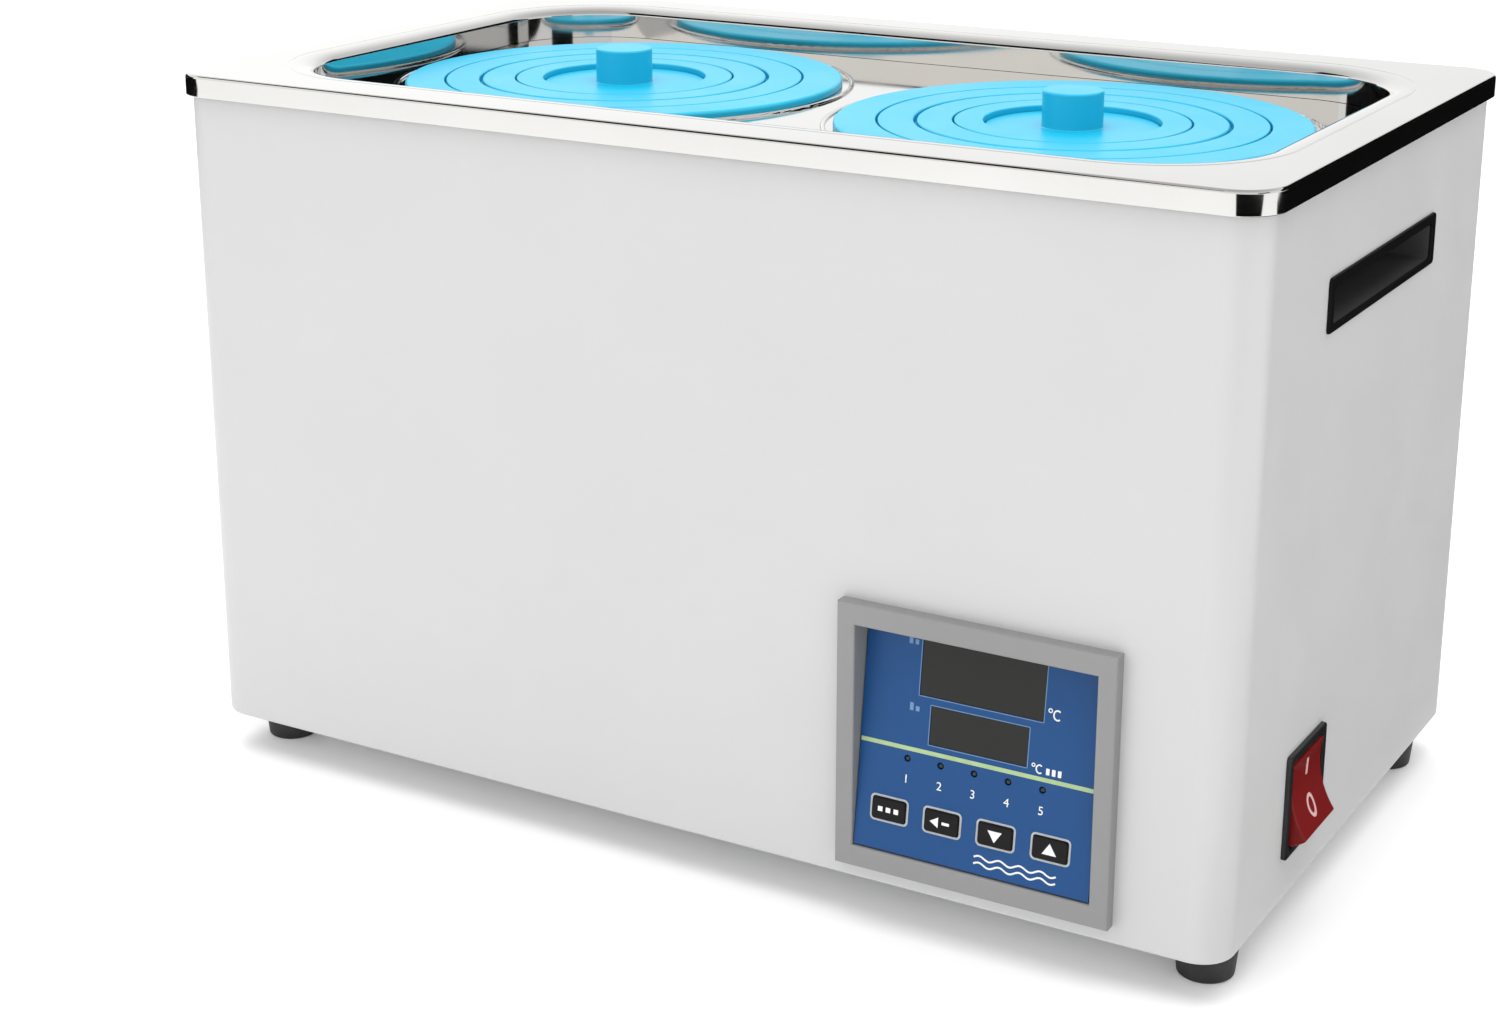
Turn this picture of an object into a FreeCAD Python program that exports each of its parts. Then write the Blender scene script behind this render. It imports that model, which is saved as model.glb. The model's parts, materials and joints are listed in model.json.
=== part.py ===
import FreeCAD, Part
import math
import os
import re
import Sketcher

# Two-hole laboratory water bath, drawn in millimetres.
# The origin is on the bench plane, under the middle of the housing.
# X runs to the right along the front, Y to the back and Z up.

# Driving dimensions: alias, value, meaning.
SIZES = [
    ("housing_width", 340.0, "painted housing, left to right"),
    ("housing_depth", 202.0, "painted housing, front to back"),
    ("deck_height", 206.4, "underside of the housing to the top of the deck"),
    ("housing_corner", 10.0, "upright corners of the housing, outside"),
    ("housing_sheet", 1.0, "steel sheet of the housing and the base plate"),
    ("top_flange", 8.0, "inward flange at the top of the housing"),
    ("bottom_flange", 24.0, "inward flange under the housing"),
    ("gasket_height", 1.0, "foam strip between the housing and the deck"),
    ("housing_edge", 1.2, "bend from the housing's walls into its bottom flange"),
    ("opening_gap", 0.15, "slack round a piece that sits in an opening of the housing"),
    ("border_lap", 0.9, "border of such a piece beyond the opening"),
    ("vent_x", -20.0, "middle of the slots in the housing's back"),
    ("vent_rise", 18.0, "lowest of these slots above the housing's underside"),
    ("vent_length", 36.0, "slot in the housing's back"),
    ("vent_height", 3.0, "slot in the housing's back"),
    ("vent_pitch", 8.0, "one of these slots to the next"),
    ("base_gap", 0.5, "slack between the base plate and the housing's walls"),
    ("base_vent_x", -110.0, "first slot of the base plate"),
    ("base_vent_width", 5.0, "slot of the base plate"),
    ("base_vent_length", 60.0, "slot of the base plate"),
    ("base_vent_pitch", 14.0, "one slot of the base plate to the next"),
    ("base_screw_x", 70.0, "base screws along the front and the back"),
    ("base_screw_inset", 12.0, "base screws, measured in from the housing's sides"),
    ("base_screw_radius", 1.2, "thread of a base screw"),
    ("base_screw_reach", 7.0, "end of a base screw above the housing's underside"),
    ("base_head_radius", 2.8, "head of a base screw"),
    ("base_head_height", 1.8, "head of a base screw"),
    ("foot_height", 13.0, "rubber foot"),
    ("foot_radius", 9.2, "top of a rubber foot"),
    ("foot_bottom_radius", 7.8, "underside of a rubber foot"),
    ("foot_x", 158.0, "feet, left and right of the middle"),
    ("foot_y", 79.0, "feet, in front of and behind the middle"),
    ("foot_recess_radius", 4.6, "recess for a foot's screw"),
    ("foot_recess_depth", 4.0, "recess for a foot's screw"),
    ("foot_screw_radius", 2.0, "thread of a foot's screw"),
    ("foot_screw_reach", 6.5, "end of a foot's screw above the foot"),
    ("foot_head_radius", 3.8, "head of a foot's screw"),
    ("foot_head_height", 2.2, "head of a foot's screw"),
    ("cross_width", 0.8, "grooves of a cross recess in a screw's head"),
    ("cross_depth", 1.0, "depth of a cross recess"),
    ("nut_across", 7.0, "nuts of the feet and of the earth stud, over the flats"),
    ("nut_height", 3.2, "nuts of the feet and of the earth stud"),
    ("thread_gap", 0.05, "slack between a thread and its nut"),
    ("screw_gap", 0.2, "slack round a screw in a plain hole"),
    ("deck_overhang", 2.1, "deck beyond the housing on each side"),
    ("deck_corner", 12.0, "outer corners of the deck"),
    ("deck_sheet", 1.0, "stainless sheet of the deck"),
    ("skirt_height", 6.6, "edge of the deck that turns down"),
    ("deck_edge", 0.8, "rounding between the deck's top and its skirt"),
    ("gasket_inset", 0.5, "foam strip inside the housing's outline"),
    ("gasket_width", 5.0, "foam strip, measured across"),
    ("well_width", 304.2, "opening of the deck, left to right"),
    ("well_depth", 160.8, "opening of the deck, front to back"),
    ("well_corner", 33.0, "corners of the opening"),
    ("roll_width", 7.5, "rounded lip of the opening, measured across the deck"),
    ("roll_drop", 2.5, "rounded lip of the opening, measured down"),
    ("roll_slack", 0.2, "flat left beside the rounded lip"),
    ("roll_bend", 1.5, "rounding from the lip into the wall of the opening"),
    ("ledge_width", 5.0, "step that carries the cover plate"),
    ("plate_drop", 10.0, "top of the deck to the top of the cover plate"),
    ("plate_sheet", 1.0, "stainless sheet of the cover plate"),
    ("plate_gap", 0.5, "cover plate to the wall of the opening"),
    ("hole_radius", 64.8, "hole in the cover plate under a lid"),
    ("hole_x", 76.4, "middle of each hole, left and right"),
    ("bead_radius", 71.6, "raised bead round each hole"),
    ("bead_size", 0.8, "radius of the bead's section"),
    ("tank_floor_height", 104.0, "inside bottom of the tank above the bench"),
    ("tank_sheet", 1.0, "stainless sheet of the tank"),
    ("tank_corner", 8.0, "bend between the tank's floor and its walls, outside"),
    ("tank_flange", 4.5, "outward flange of the tank under the ledge"),
    ("wool_start", 4.0, "lower edge of the side wool above the tank's floor"),
    ("wool_height", 90.0, "side wool, up"),
    ("wool_corner", 18.0, "corners of the floor wool"),
    ("wool_inset", 10.0, "floor wool inside the tank's outline"),
    ("cup_room_y", 4.0, "recess of the wool beyond a handle cup, front to back"),
    ("cup_room_z", 6.0, "recess of the wool beyond a handle cup, up"),
    ("cup_room_depth", 6.5, "recess of the wool behind a handle cup"),
    ("probe_room_y", 18.0, "opening of the wool round the probe's fitting, front to back"),
    ("probe_room_z", 20.0, "opening of the wool round the probe's fitting, up"),
    ("gland_room", 12.0, "radius of the holes of the floor wool round the heater's glands"),
    ("cutout_room", 13.0, "radius of the hole of the floor wool round the cut-out"),
    ("insulation", 8.0, "glass wool round and under the tank"),
    ("insulation_gap", 0.3, "slack between the tank and the glass wool"),
    ("lid_drop", 7.7, "top of the deck to the top of the lids"),
    ("lid_radius", 68.6, "outside of the largest ring"),
    ("ring_radius_1", 56.1, "line between the first and the second ring"),
    ("ring_radius_2", 45.15, "line between the second and the third ring"),
    ("ring_radius_3", 34.1, "line between the third and the fourth ring"),
    ("cap_radius", 25.2, "middle cap"),
    ("ring_gap", 0.3, "slack between a ring and the next one"),
    ("ring_step", 2.6, "width of the step that carries the next ring"),
    ("ring_skirt", 3.0, "lower half of each ring, below the cover plate"),
    ("cap_drop", 1.7, "top of the rings to the top of the cap"),
    ("cap_plate", 2.0, "flange of the cap"),
    ("knob_radius", 8.8, "knob moulded on the cap"),
    ("knob_rise", 8.9, "knob above the top of the rings"),
    ("lid_edge", 1.1, "chamfer round the outside of a lid"),
    ("ring_edge", 0.35, "chamfers beside the lines between the rings"),
    ("cap_edge", 0.4, "chamfer round the cap"),
    ("knob_edge", 0.6, "chamfer round the knob"),
    ("hole_gap", 0.6, "slack between a lid and its hole in the cover plate"),
    ("handle_y", -2.0, "middle of the side handles"),
    ("handle_z", 179.5, "middle of the side handles above the bench"),
    ("handle_width", 93.0, "border of the handle cup, front to back"),
    ("handle_height", 15.0, "border of the handle cup, up"),
    ("handle_border", 3.4, "width of the border in front of and behind the hollow"),
    ("handle_border_top", 2.8, "width of the border above the hollow"),
    ("handle_border_low", 1.9, "width of the border under the hollow"),
    ("handle_proud", 0.8, "border above the housing's side"),
    ("handle_depth", 18.0, "hollow of the cup, measured from the housing's side"),
    ("cup_wall", 1.5, "moulded wall of the cup"),
    ("cup_corner", 1.5, "corners of the cup and its border"),
    ("handle_edge", 0.5, "rounded edges of the border"),
    ("panel_x", 98.75, "middle of the control panel"),
    ("panel_z", 57.25, "middle of the control panel above the bench"),
    ("frame_width", 81.5, "grey frame, outside"),
    ("frame_height", 77.5, "grey frame, outside"),
    ("frame_proud", 4.0, "grey frame above the housing's front"),
    ("frame_depth", 15.0, "sleeve of the frame behind the housing's front"),
    ("frame_sleeve", 3.25, "border of the frame outside its sleeve"),
    ("frame_edge", 0.6, "rounded front edges of the frame"),
    ("window_width", 70.7, "opening of the frame"),
    ("window_height", 65.0, "opening of the frame"),
    ("face_tilt", 6.5, "lean of the blue face, in degrees"),
    ("face_back", 4.3, "middle of the blue face behind the front of the frame"),
    ("face_sheet", 1.5, "thickness of the blue face"),
    ("face_gap", 0.35, "blue face to the frame"),
    ("display_1_width", 36.5, "upper display window"),
    ("display_1_height", 17.6, "upper display window"),
    ("display_1_v", 22.8, "middle of the upper window above the face's middle"),
    ("display_2_width", 29.0, "lower display window"),
    ("display_2_height", 11.0, "lower display window"),
    ("display_2_v", 6.2, "middle of the lower window above the face's middle"),
    ("lens_gap", 0.1, "slack round a display window and an indicator light"),
    ("lens_sink", 0.2, "display window below the blue face"),
    ("led_radius", 0.9, "indicator light"),
    ("led_pitch", 10.0, "one indicator light to the next"),
    ("led_v", -4.5, "row of indicator lights"),
    ("key_width", 10.1, "key cap"),
    ("key_height", 6.2, "key cap"),
    ("key_corner", 1.0, "corners of a key cap"),
    ("key_edge", 0.35, "rounded front edges of a key cap"),
    ("key_lip_sheet", 1.0, "thickness of a key's flange"),
    ("key_stem", 1.0, "stem of a key behind its flange"),
    ("key_stem_radius", 1.7, "stem of a key, and the plunger behind it"),
    ("key_slack", 0.2, "left between a pressed key and its plunger"),
    ("key_offset", -0.85, "middle of the row of keys"),
    ("led_offset", -0.5, "middle of the row of indicator lights"),
    ("key_pitch", 16.0, "one key to the next"),
    ("key_v", -20.2, "row of keys"),
    ("key_proud", 0.8, "key cap above the blue face"),
    ("key_gap", 0.3, "slack round a key"),
    ("key_lip", 1.0, "flange that keeps a key behind the face"),
    ("key_travel", 0.5, "stroke of a key"),
    ("board_back", 8.0, "display board behind the blue face"),
    ("board_sheet", 1.6, "circuit board"),
    ("board_width", 68.7, "display board"),
    ("board_height", 60.0, "display board"),
    ("module_inset", 1.0, "display module inside its window"),
    ("module_gap", 0.7, "display module to the blue face"),
    ("tact_width", 6.0, "push switch behind a key"),
    ("tact_height", 2.6, "push switch behind a key"),
    ("case_width", 68.0, "controller case, left to right"),
    ("case_height", 62.0, "controller case, up"),
    ("terminal_width", 56.0, "terminal block of the controller"),
    ("terminal_height", 16.0, "terminal block of the controller"),
    ("terminal_depth", 10.0, "terminal block of the controller"),
    ("terminal_floor", 4.0, "floor of its holes"),
    ("terminal_hole", 2.4, "radius of its holes"),
    ("terminal_pitch", 7.0, "one hole to the next"),
    ("case_depth", 40.0, "controller case, front to back"),
    ("case_wall", 1.5, "wall of the controller case"),
    ("rocker_y", -43.05, "middle of the mains switch"),
    ("rocker_z", 41.65, "middle of the mains switch above the bench"),
    ("switch_width", 29.5, "bezel of the switch, front to back"),
    ("switch_height", 30.3, "bezel of the switch, up"),
    ("switch_proud", 1.5, "bezel of the switch above the housing's side"),
    ("switch_depth", 22.0, "body of the switch inside the housing"),
    ("switch_border", 2.35, "border of the switch round its rocker"),
    ("switch_corner", 1.0, "corners of the bezel"),
    ("switch_edge", 0.6, "rounded edges of the bezel"),
    ("switch_tab_length", 8.0, "connector tabs behind the switch"),
    ("switch_tab_y", 6.5, "these tabs, in front of and behind the middle"),
    ("switch_tab_z", 8.0, "these tabs, above and below the middle"),
    ("rocker_room", 9.0, "hollow of the switch behind the rocker's pivot"),
    ("rocker_edge", 0.5, "rounded side edges of the rocker"),
    ("rocker_sweep", 85.0, "end of the rocker's round ends, in degrees from its axis"),
    ("rocker_under", 3.0, "underside of the rocker behind its pivot"),
    ("rocker_keel", 4.0, "half the height of this underside"),
    ("trunnion_bite", 0.7, "trunnions in the switch's walls"),
    ("rocker_gap", 0.35, "slack between the rocker and its bezel"),
    ("pivot_in", 2.4, "pivot of the rocker behind the housing's side"),
    ("rocker_rise", 4.0, "middle of the rocker's face above its pivot"),
    ("rocker_length", 11.0, "each half of the rocker's face"),
    ("rocker_tilt", 12.0, "lean of the rocker to either side, in degrees"),
    ("pivot_radius", 1.5, "trunnions of the rocker"),
    ("pivot_gap", 0.06, "slack round the trunnions"),
    ("inlet_x", 112.0, "middle of the mains inlet on the back"),
    ("inlet_z", 45.0, "middle of the mains inlet above the bench"),
    ("inlet_width", 50.0, "flange of the inlet"),
    ("inlet_height", 33.0, "flange of the inlet"),
    ("inlet_proud", 2.5, "flange of the inlet behind the housing's back"),
    ("inlet_block", 27.0, "moulded block of the inlet inside the housing, left to right"),
    ("inlet_block_depth", 26.0, "moulded block of the inlet, from the housing's back"),
    ("inlet_corner", 4.0, "corners of the inlet's flange"),
    ("inlet_edge", 0.7, "rounded edges of the inlet's flange"),
    ("socket_width", 24.4, "hole of the socket"),
    ("socket_height", 16.6, "hole of the socket"),
    ("socket_low", 4.0, "lower edge of the socket below the inlet's middle"),
    ("socket_chamfer", 5.0, "cut corners of the socket"),
    ("socket_depth", 16.0, "hole of the socket, from the housing's back"),
    ("pin_x", 7.0, "outer pins, from the inlet's middle"),
    ("pin_low", 3.0, "outer pins above the inlet's middle"),
    ("pin_high", 7.0, "earth pin above the inlet's middle"),
    ("pin_width", 2.0, "pin of the inlet"),
    ("pin_height", 4.0, "pin of the inlet"),
    ("pin_sink", 2.0, "tip of a pin inside the housing's back"),
    ("pin_reach", 34.0, "end of a pin inside the housing's back"),
    ("inlet_screw_x", 20.0, "screws of the inlet, from its middle"),
    ("inlet_screw_radius", 1.45, "thread of an inlet screw"),
    ("inlet_screw_reach", 8.0, "end of an inlet screw inside the housing's back"),
    ("inlet_head_radius", 3.1, "countersunk head of an inlet screw"),
    ("inlet_head_height", 1.6, "countersunk head of an inlet screw"),
    ("inlet_nut", 5.5, "nut of an inlet screw, over the flats"),
    ("inlet_nut_height", 2.4, "nut of an inlet screw"),
    ("groove_width", 0.7, "driver groove of an inlet screw"),
    ("drawer_width", 22.0, "fuse drawer"),
    ("drawer_height", 6.7, "fuse drawer"),
    ("drawer_depth", 19.5, "fuse drawer, from the housing's back"),
    ("drawer_gap", 0.3, "slack round the fuse drawer"),
    ("drawer_drop", 9.65, "middle of the fuse drawer below the inlet's middle"),
    ("drawer_plate", 1.2, "front plate of the fuse drawer"),
    ("drawer_lap", 0.6, "this plate beyond the drawer"),
    ("fuse_radius", 2.6, "fuse"),
    ("fuse_length", 20.0, "fuse"),
    ("fuse_y", 14.6, "middle of the fuse inside the housing's back"),
    ("fuse_room", 0.9, "hollow of the drawer round the fuse"),
    ("grip_width", 12.0, "notch for a fingernail in the drawer's plate"),
    ("grip_height", 2.0, "notch for a fingernail in the drawer's plate"),
    ("relay_x", 47.0, "middle of the solid-state relay"),
    ("relay_y", 42.0, "middle of the solid-state relay"),
    ("relay_width", 58.0, "body of the relay"),
    ("relay_depth", 44.0, "body of the relay"),
    ("relay_height", 24.0, "body of the relay"),
    ("relay_plate_width", 70.0, "metal plate under the relay"),
    ("relay_plate", 3.0, "metal plate under the relay"),
    ("relay_screw_x", 30.0, "screws of the relay, from its middle"),
    ("relay_notch", 6.0, "notch of the relay for a screw's head, left to right"),
    ("relay_notch_depth", 9.0, "notch of the relay for a screw's head, front to back"),
    ("relay_head_radius", 3.6, "head of a relay screw"),
    ("relay_head_height", 2.2, "head of a relay screw"),
    ("earth_x", 135.0, "earth stud"),
    ("earth_y", 40.0, "earth stud"),
    ("earth_height", 14.0, "earth stud above the base plate"),
    ("earth_base", 3.0, "hexagon at the foot of the earth stud"),
    ("earth_nut_rise", 6.0, "nut of the earth stud above the base plate"),
    ("strip_x", -35.0, "middle of the terminal strip"),
    ("strip_y", -39.0, "middle of the terminal strip"),
    ("strip_width", 50.0, "terminal strip"),
    ("strip_depth", 22.0, "terminal strip"),
    ("strip_height", 16.0, "terminal strip"),
    ("strip_pitch", 10.0, "one way of the terminal strip to the next"),
    ("strip_well", 3.0, "radius of the wells of the terminal strip"),
    ("strip_well_y", 6.0, "the two rows of wells, from the strip's middle"),
    ("strip_floor", 9.0, "floor of the wells above the base plate"),
    ("wire_radius", 1.4, "mains wire with its cover"),
    ("wire_bend", 3.4, "bends of the mains wires"),
    ("lead_radius", 1.2, "lead of the probe"),
    ("lead_bend", 5.0, "bends of the probe's lead"),
    ("heater_radius", 4.0, "tubular heater"),
    ("heater_height", 120.0, "middle of the heater above the bench"),
    ("heater_reach", 100.0, "heater's legs, from the middle to their bends"),
    ("heater_y", 40.0, "heater's two legs, from the middle"),
    ("heater_tail", 83.0, "lower end of the heater's tails above the bench"),
    ("heater_bend", 12.0, "bends of the heater"),
    ("heater_end", 75.0, "start of the heater's far loop, from the middle to the left"),
    ("heater_loop", 25.0, "chamfered corner of the heater's far loop"),
    ("gland_radius", 5.1, "sleeve of a heater gland"),
    ("gland_gap", 0.1, "slack between a gland's sleeve and the tank"),
    ("gland_flange", 8.0, "radius of a gland's flange"),
    ("gland_sheet", 1.5, "flange of a gland, and the washer under it"),
    ("gland_nut", 14.0, "nut of a gland, over the flats"),
    ("gland_nut_height", 5.5, "nut of a gland"),
    ("gland_drop", 8.0, "lower end of a gland's sleeve under the tank"),
    ("probe_rise", 12.0, "middle of the temperature probe above the tank's floor"),
    ("probe_tip", 84.0, "tip of the probe, from the middle to the right"),
    ("probe_radius", 2.0, "sheath of the probe"),
    ("probe_tail", 6.0, "sheath of the probe outside the tank"),
    ("fitting_radius", 3.0, "thread of the probe's fitting"),
    ("fitting_across", 10.0, "nuts of the probe's fitting, over the flats"),
    ("fitting_nut", 4.0, "height of a nut of the probe's fitting"),
    ("cutout_radius", 8.0, "disc of the overheat cut-out"),
    ("cutout_disc", 5.0, "height of this disc"),
    ("cutout_cap", 6.5, "radius of the cut-out's cap"),
    ("cutout_drop", 9.0, "underside of the cap below the tank"),
    ("cutout_tab_x", 4.0, "tabs of the cut-out, from its middle"),
    ("cutout_tab_drop", 15.0, "lower end of the tabs below the tank"),
    ("tab_width", 6.0, "flat connector tab"),
    ("tab_sheet", 0.8, "flat connector tab"),
    ("shelf_sheet", 1.0, "sheet of the shelf"),
    ("shelf_corner", 20.0, "corners of the shelf"),
    ("shelf_leg_x", 116.0, "middle of the shelf's legs"),
    ("shelf_leg_width", 14.0, "leg of the shelf"),
    ("shelf_leg_sheet", 1.2, "leg of the shelf"),
    ("shelf_pitch_x", 21.0, "one hole of the shelf to the next, left to right"),
    ("shelf_pitch_y", 19.8, "one hole of the shelf to the next, front to back"),
    ("shelf_width", 276.0, "perforated shelf"),
    ("shelf_depth", 132.0, "perforated shelf"),
    ("shelf_height", 27.0, "perforated shelf above the tank's floor"),
    ("shelf_hole", 4.0, "radius of the shelf's holes"),
]

VALUES = {alias: size for alias, size, meaning in SIZES}

doc = FreeCAD.newDocument("WaterBath")
sheet = doc.addObject("Spreadsheet::Sheet", "Dim")
for row, (alias, size, meaning) in enumerate(SIZES, start=1):
    sheet.set(f"A{row}", alias.replace("_", " "))
    sheet.set(f"B{row}", str(size))
    sheet.set(f"C{row}", meaning)
    sheet.setAlias(f"B{row}", alias)
doc.recompute()

# Levels and distances that follow from the driving dimensions.
DECK_TOP = "(foot_height + deck_height)"
SHELL_TOP = f"({DECK_TOP} - deck_sheet - gasket_height)"
PLATE_TOP = f"({DECK_TOP} - plate_drop)"
LEDGE_TOP = f"({PLATE_TOP} - plate_sheet)"
LEDGE_UNDER = f"({LEDGE_TOP} - deck_sheet)"
LID_TOP = f"({DECK_TOP} - lid_drop)"
TANK_UNDER = "(tank_floor_height - tank_sheet)"
TANK_WIDTH = "(well_width - 2 * ledge_width)"
TANK_DEPTH = "(well_depth - 2 * ledge_width)"
TANK_ROUND = "(well_corner - ledge_width)"
BASE_TOP = "(foot_height + 2 * housing_sheet)"
FRONT = "(-housing_depth / 2)"
BACK = "(housing_depth / 2)"
SIDE = "(housing_width / 2)"
FACE_Y = f"({FRONT} - frame_proud + face_back)"
KEY_COUNT = 4
LED_COUNT = 5
BACK_VENTS = 6
BASE_VENTS = 7
SHELF_COLUMNS = 12
SHELF_ROWS = 6
FOOT_PLACES = [(f"{sx} * foot_x", f"{sy} * foot_y") for sx in (-1, 1) for sy in (-1, 1)]
BASE_SCREW_Y = "(housing_depth / 2 - base_screw_inset)"
BASE_SCREW_PLACES = [(f"{sx} * base_screw_x", f"{sy} * {BASE_SCREW_Y}") for sx in (-1, 1) for sy in (-1, 1)]
BASE_SCREW_PLACES += [(f"{side} * (housing_width / 2 - base_screw_inset)", "0") for side in (-1, 1)]
PROBE_Z = "(tank_floor_height + probe_rise)"
RING_RADII = ["lid_radius", "ring_radius_1", "ring_radius_2", "ring_radius_3", "cap_radius"]
CAP_TOP = f"({LID_TOP} - cap_drop)"
CAP_SEAT = f"({CAP_TOP} - cap_plate)"
LID_UNDER = f"({PLATE_TOP} - ring_skirt)"
FACE_HEIGHT = "(window_height - 2 * face_gap)"
BOARD_TOP = "(-board_back)"
DISPLAYS = [
    ("upper", "display_1_width", "display_1_height", "display_1_v"),
    ("lower", "display_2_width", "display_2_height", "display_2_v"),
]
INLET_PIN_PLACES = [
    ("(inlet_x - pin_x)", "(inlet_z + pin_low)"),
    ("inlet_x", "(inlet_z + pin_high)"),
    ("(inlet_x + pin_x)", "(inlet_z + pin_low)"),
]
INLET_SCREW_PLACES = [f"(inlet_x + {side} * inlet_screw_x)" for side in (-1, 1)]
TERMINAL_WAYS = 8
STRIP_WAYS = 5

sub_parts = []


def linked(text):
    """Expression text with each alias written as a cell of the sheet."""
    return re.sub(r"[a-z_][a-z_0-9]*", lambda m: f"Dim.{m[0]}" if m[0] in VALUES else m[0], str(text))


def number(text):
    """Value of an expression now."""
    return float(sheet.evalExpression(linked(text)))


def bind(item, **properties):
    """Tie properties of an object to expressions of the sheet."""
    for name, text in properties.items():
        item.setExpression(name, linked(text))


def place(item, x=0, y=0, z=0, axis=None, angle=None):
    """Tie an object's place, and its turn about one axis, to the sheet."""
    if axis:
        item.Placement = FreeCAD.Placement(FreeCAD.Vector(), FreeCAD.Rotation(FreeCAD.Vector(*axis), 30))
        item.setExpression(".Placement.Rotation.Angle", linked(angle))
    for letter, text in (("x", x), ("y", y), ("z", z)):
        item.setExpression(f".Placement.Base.{letter}", linked(text))
    return item


def keep(item, label):
    """Name an object as a finished sub-part."""
    item.Label = label
    sub_parts.append(item)
    return item


# Solids from primitives


def box(x, y, z, width, depth, height):
    """Box whose lowest corner is at x, y, z."""
    item = doc.addObject("Part::Box", "Box")
    bind(item, Length=width, Width=depth, Height=height)
    return place(item, x, y, z)


def centred_box(x, y, z, width, depth, height):
    """Box with its middle at x, y and its underside at z."""
    return box(f"{x} - ({width}) / 2", f"{y} - ({depth}) / 2", z, width, depth, height)


AXIS_TURNS = {"X": ((0, 1, 0), 90), "Y": ((1, 0, 0), -90), "Z": ((0, 0, 1), 0)}


def rod(x, y, z, radius, length, axis="Z"):
    """Cylinder that starts at x, y, z and runs along a positive axis."""
    item = doc.addObject("Part::Cylinder", "Rod")
    bind(item, Radius=radius, Height=length)
    turn, angle = AXIS_TURNS[axis]
    return place(item, x, y, z, turn, angle)


def hexagon(x, y, z, across, length, axis="Z"):
    """Six-sided bar that starts at x, y, z; across is its size over the flats."""
    item = doc.addObject("Part::Prism", "Hexagon")
    item.Polygon = 6
    bind(item, Circumradius=f"({across}) / sqrt(3)", Height=length)
    turn, angle = AXIS_TURNS[axis]
    return place(item, x, y, z, turn, angle)


def fuse(*items):
    joined = doc.addObject("Part::MultiFuse", "Fuse")
    joined.Shapes = list(items)
    return joined


def cut(base, *tools):
    rest = doc.addObject("Part::Cut", "Cut")
    rest.Base = base
    rest.Tool = tools[0] if len(tools) == 1 else fuse(*tools)
    return rest


def group(items):
    """Several separate solids under one name."""
    bundle = doc.addObject("Part::Compound", "Group")
    bundle.Links = list(items)
    return bundle


# PartDesign bodies


def new_body(label):
    return keep(doc.addObject("PartDesign::Body", label), label)


def new_sketch(body, name, role="XY_Plane", lift=0):
    """Sketch on one of the body's origin planes, lifted along the plane's normal."""
    plane = next(item for item in body.Origin.OriginFeatures if item.Role == role)
    sketch = body.newObject("Sketcher::SketchObject", name)
    sketch.AttachmentSupport = [(plane, "")]
    sketch.MapMode = "FlatFace"
    sketch.setExpression(".AttachmentOffset.Base.z", linked(lift))
    return sketch


def fix(sketch, kind, *where, size):
    """Dimension of a sketch, tied to the sheet."""
    index = sketch.addConstraint(Sketcher.Constraint(kind, *where, number(size)))
    sketch.setExpression(f"Constraints[{index}]", linked(size))


def fix_point(sketch, geometry, point, x, y):
    """Hold a point of a sketch at x, y from the sketch's origin."""
    fix(sketch, "DistanceX", -1, 1, geometry, point, size=x)
    fix(sketch, "DistanceY", -1, 1, geometry, point, size=y)


def draw_rounded(sketch, width, depth, radius, x=0, y=0):
    """Rectangle with four equal round corners, centred on x, y."""
    mid_x, mid_y = number(x), number(y)
    half_x, half_y = number(width) / 2, number(depth) / 2
    bend = number(radius)
    first = sketch.GeometryCount
    in_x, in_y = half_x - bend, half_y - bend
    corners = [(1, -1), (1, 1), (-1, 1), (-1, -1)]
    centres = [FreeCAD.Vector(mid_x + sx * in_x, mid_y + sy * in_y, 0) for sx, sy in corners]

    def rim(corner, degrees):
        turn = math.radians(degrees)
        return centres[corner] + FreeCAD.Vector(math.cos(turn), math.sin(turn), 0) * bend

    for corner in range(4):
        start = corner * 90 - 90
        before = rim(corner - 1, start)
        sketch.addGeometry(Part.LineSegment(before, rim(corner, start)), False)
        circle = Part.Circle(centres[corner], FreeCAD.Vector(0, 0, 1), bend)
        arc = Part.ArcOfCircle(circle, math.radians(start), math.radians(start + 90))
        sketch.addGeometry(arc, False)
    for step in range(8):
        sketch.addConstraint(Sketcher.Constraint("Tangent", first + step, 2, first + (step + 1) % 8, 1))
    for line, kind in ((0, "Horizontal"), (2, "Vertical"), (4, "Horizontal"), (6, "Vertical")):
        sketch.addConstraint(Sketcher.Constraint(kind, first + line))
    for arc in (3, 5, 7):
        sketch.addConstraint(Sketcher.Constraint("Equal", first + 1, first + arc))
    fix(sketch, "Radius", first + 1, size=radius)
    fix(sketch, "DistanceX", -1, 1, first + 2, 1, size=f"{x} + ({width}) / 2")
    fix(sketch, "DistanceX", -1, 1, first + 6, 1, size=f"{x} - ({width}) / 2")
    fix(sketch, "DistanceY", -1, 1, first, 1, size=f"{y} - ({depth}) / 2")
    fix(sketch, "DistanceY", -1, 1, first + 4, 1, size=f"{y} + ({depth}) / 2")


def draw_circle(sketch, radius, x=0, y=0):
    middle = FreeCAD.Vector(number(x), number(y), 0)
    circle = sketch.addGeometry(Part.Circle(middle, FreeCAD.Vector(0, 0, 1), number(radius)), False)
    fix(sketch, "Radius", circle, size=radius)
    fix_point(sketch, circle, 3, x, y)


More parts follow.
